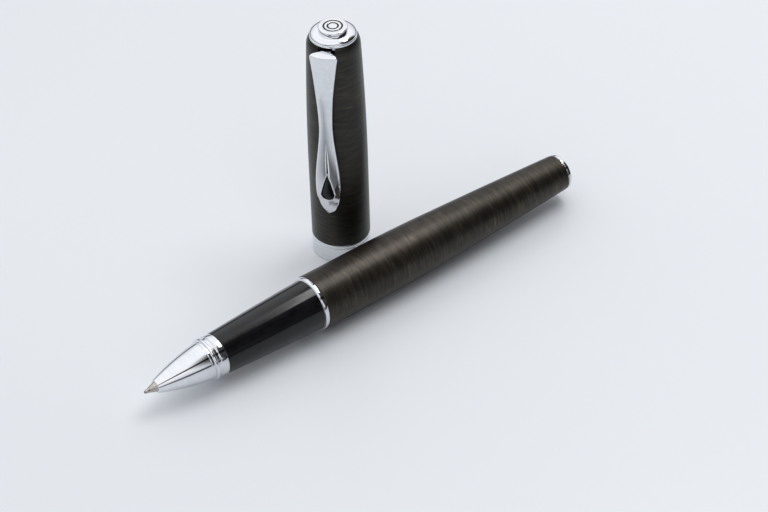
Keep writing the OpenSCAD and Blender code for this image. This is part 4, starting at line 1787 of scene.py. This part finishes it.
@dataclass
class Studio:
    """The pale floor, the soft light and the camera."""

    floor_colour: Colour = (0.748, 0.771, 0.798)
    floor_shade: Colour = (0.732, 0.756, 0.786)
    floor_half: float = 3.0
    floor_drop: float = 0.04 * MM
    eye: Colour = (-0.23160, -0.31724, 0.33729)
    azimuth: float = 37.67
    elevation: float = 40.15
    roll: float = -1.47
    lens: float = 103.125
    brightness: float = 1.16
    dark_side: Colour = (0.60, -0.56, 0.57)
    beam_across: Colour = (0.0, 0.73, 0.68)
    room_shades: tuple[tuple[float, Colour], ...] = (
        (0.0, (0.04, 0.04, 0.045)),
        (0.13, (0.09, 0.09, 0.10)),
        (0.24, (0.66, 0.68, 0.72)),
        (0.6, (1.0, 1.01, 1.03)),
    )
    softbox: Softbox = Softbox("overhead_softbox", (0.40, -0.02, 0.80), (0.0, 0.0, 0.0), 0.50, 0.20, 2.2)

    def build(self) -> None:
        """Sets up the floor, the lights and the camera."""
        bpy.context.scene.view_settings.view_transform = "Standard"
        self.floor()
        self.sky()
        self.softbox.hang()
        self.camera()

    def floor(self) -> None:
        """Lays the floor, a wide sheet with a faint sheen."""
        mesh = bmesh.new()
        bmesh.ops.create_grid(mesh, x_segments=8, y_segments=8, size=self.floor_half)
        for vertex in mesh.verts:
            vertex.co.z = -self.floor_drop
        data = bpy.data.meshes.new("floor_sheet")
        mesh.to_mesh(data)
        mesh.free()
        sheet = bpy.data.objects.new("floor_sheet", data)
        bpy.context.scene.collection.objects.link(sheet)
        bench = Bench("pale_floor")
        cloud = bench.noise((6, 6, 6), 2, 0.5, 1.0)
        bench.colour(bench.ramp(cloud, ((0.3, self.floor_shade), (0.7, self.floor_colour))))
        bench.rough(bench.spread(bench.noise((160, 160, 160), 2, 0.5, 3.0), 0.3, 0.7, 0.33, 0.345))
        data.materials.append(bench.material)

    def sky(self) -> None:
        """Lights everything softly from a room with a dark side and a narrow dark beam along the pen.

        The room is bright overhead and greyer towards a dark skirting.
        """
        world = bpy.data.worlds.new("studio")
        bpy.context.scene.world = world
        world.use_nodes = True
        room = Nodes(world.node_tree)
        ground = room.tree.nodes["Background"]
        direction = room.tree.nodes.new("ShaderNodeTexCoord").outputs["Generated"]
        parts = room.tree.nodes.new("ShaderNodeSeparateXYZ")
        room.tree.links.new(direction, parts.inputs[0])
        shade = room.ramp(parts.outputs["Z"], self.room_shades)
        side = room.spread(room.facing(direction, self.dark_side), 0.72, 0.89, 1.0, 0.05, smooth=True)
        beside = room.math("ABSOLUTE", room.facing(direction, self.beam_across))
        beam = room.spread(beside, 0.05, 0.13, 0.08, 1.0, smooth=True)
        strength = room.math("MULTIPLY", room.math("MULTIPLY", side, beam), self.brightness)
        room.tree.links.new(shade, ground.inputs["Color"])
        room.tree.links.new(strength, ground.inputs["Strength"])

    def camera(self) -> None:
        """Sets the camera above the tip's side of the pen, looking down across it."""
        turn, tilt, lean = (math.radians(angle) for angle in (self.azimuth, self.elevation, self.roll))
        look = Vector((math.sin(turn) * math.cos(tilt), math.cos(turn) * math.cos(tilt), -math.sin(tilt)))
        level = Vector((math.cos(turn), -math.sin(turn), 0))
        rise = level.cross(look)
        right = level * math.cos(lean) + rise * math.sin(lean)
        up = rise * math.cos(lean) - level * math.sin(lean)
        data = bpy.data.cameras.new("camera")
        data.lens, data.sensor_width = self.lens, 36.0
        data.clip_start, data.clip_end = 0.01, 20.0
        eye = bpy.data.objects.new("camera", data)
        bpy.context.scene.collection.objects.link(eye)
        basis = Matrix((right, up, -look)).transposed().to_4x4()
        eye.matrix_world = Matrix.Translation(Vector(self.eye)) @ basis
        bpy.context.scene.camera = eye


def main() -> None:
    """Builds the sub-assemblies in order and sets up the studio."""
    logging.basicConfig(level=logging.INFO, format="%(name)s: %(message)s")
    pen, cap = pen_axis(), cap_axis()
    finishes = Finishes()
    section = Section(pen, finishes, "section", Lay.ROUND_PEN)
    refill = Refill(pen, finishes, "refill", Lay.ROUND_PEN)
    barrel = Barrel(pen, finishes, "barrel", Lay.ROUND_PEN)
    standing_cap = Cap(cap, finishes, "cap", Lay.ROUND_CAP)
    clip = Clip(cap, finishes, "clip", Lay.ROUND_CAP, standing_cap.radius_at)
    for assembly in (section, refill, barrel, standing_cap, clip):
        assembly.build()
        LOG.info("%s is built", type(assembly).__name__)
    Studio().build()


if __name__ == "__main__":
    main()
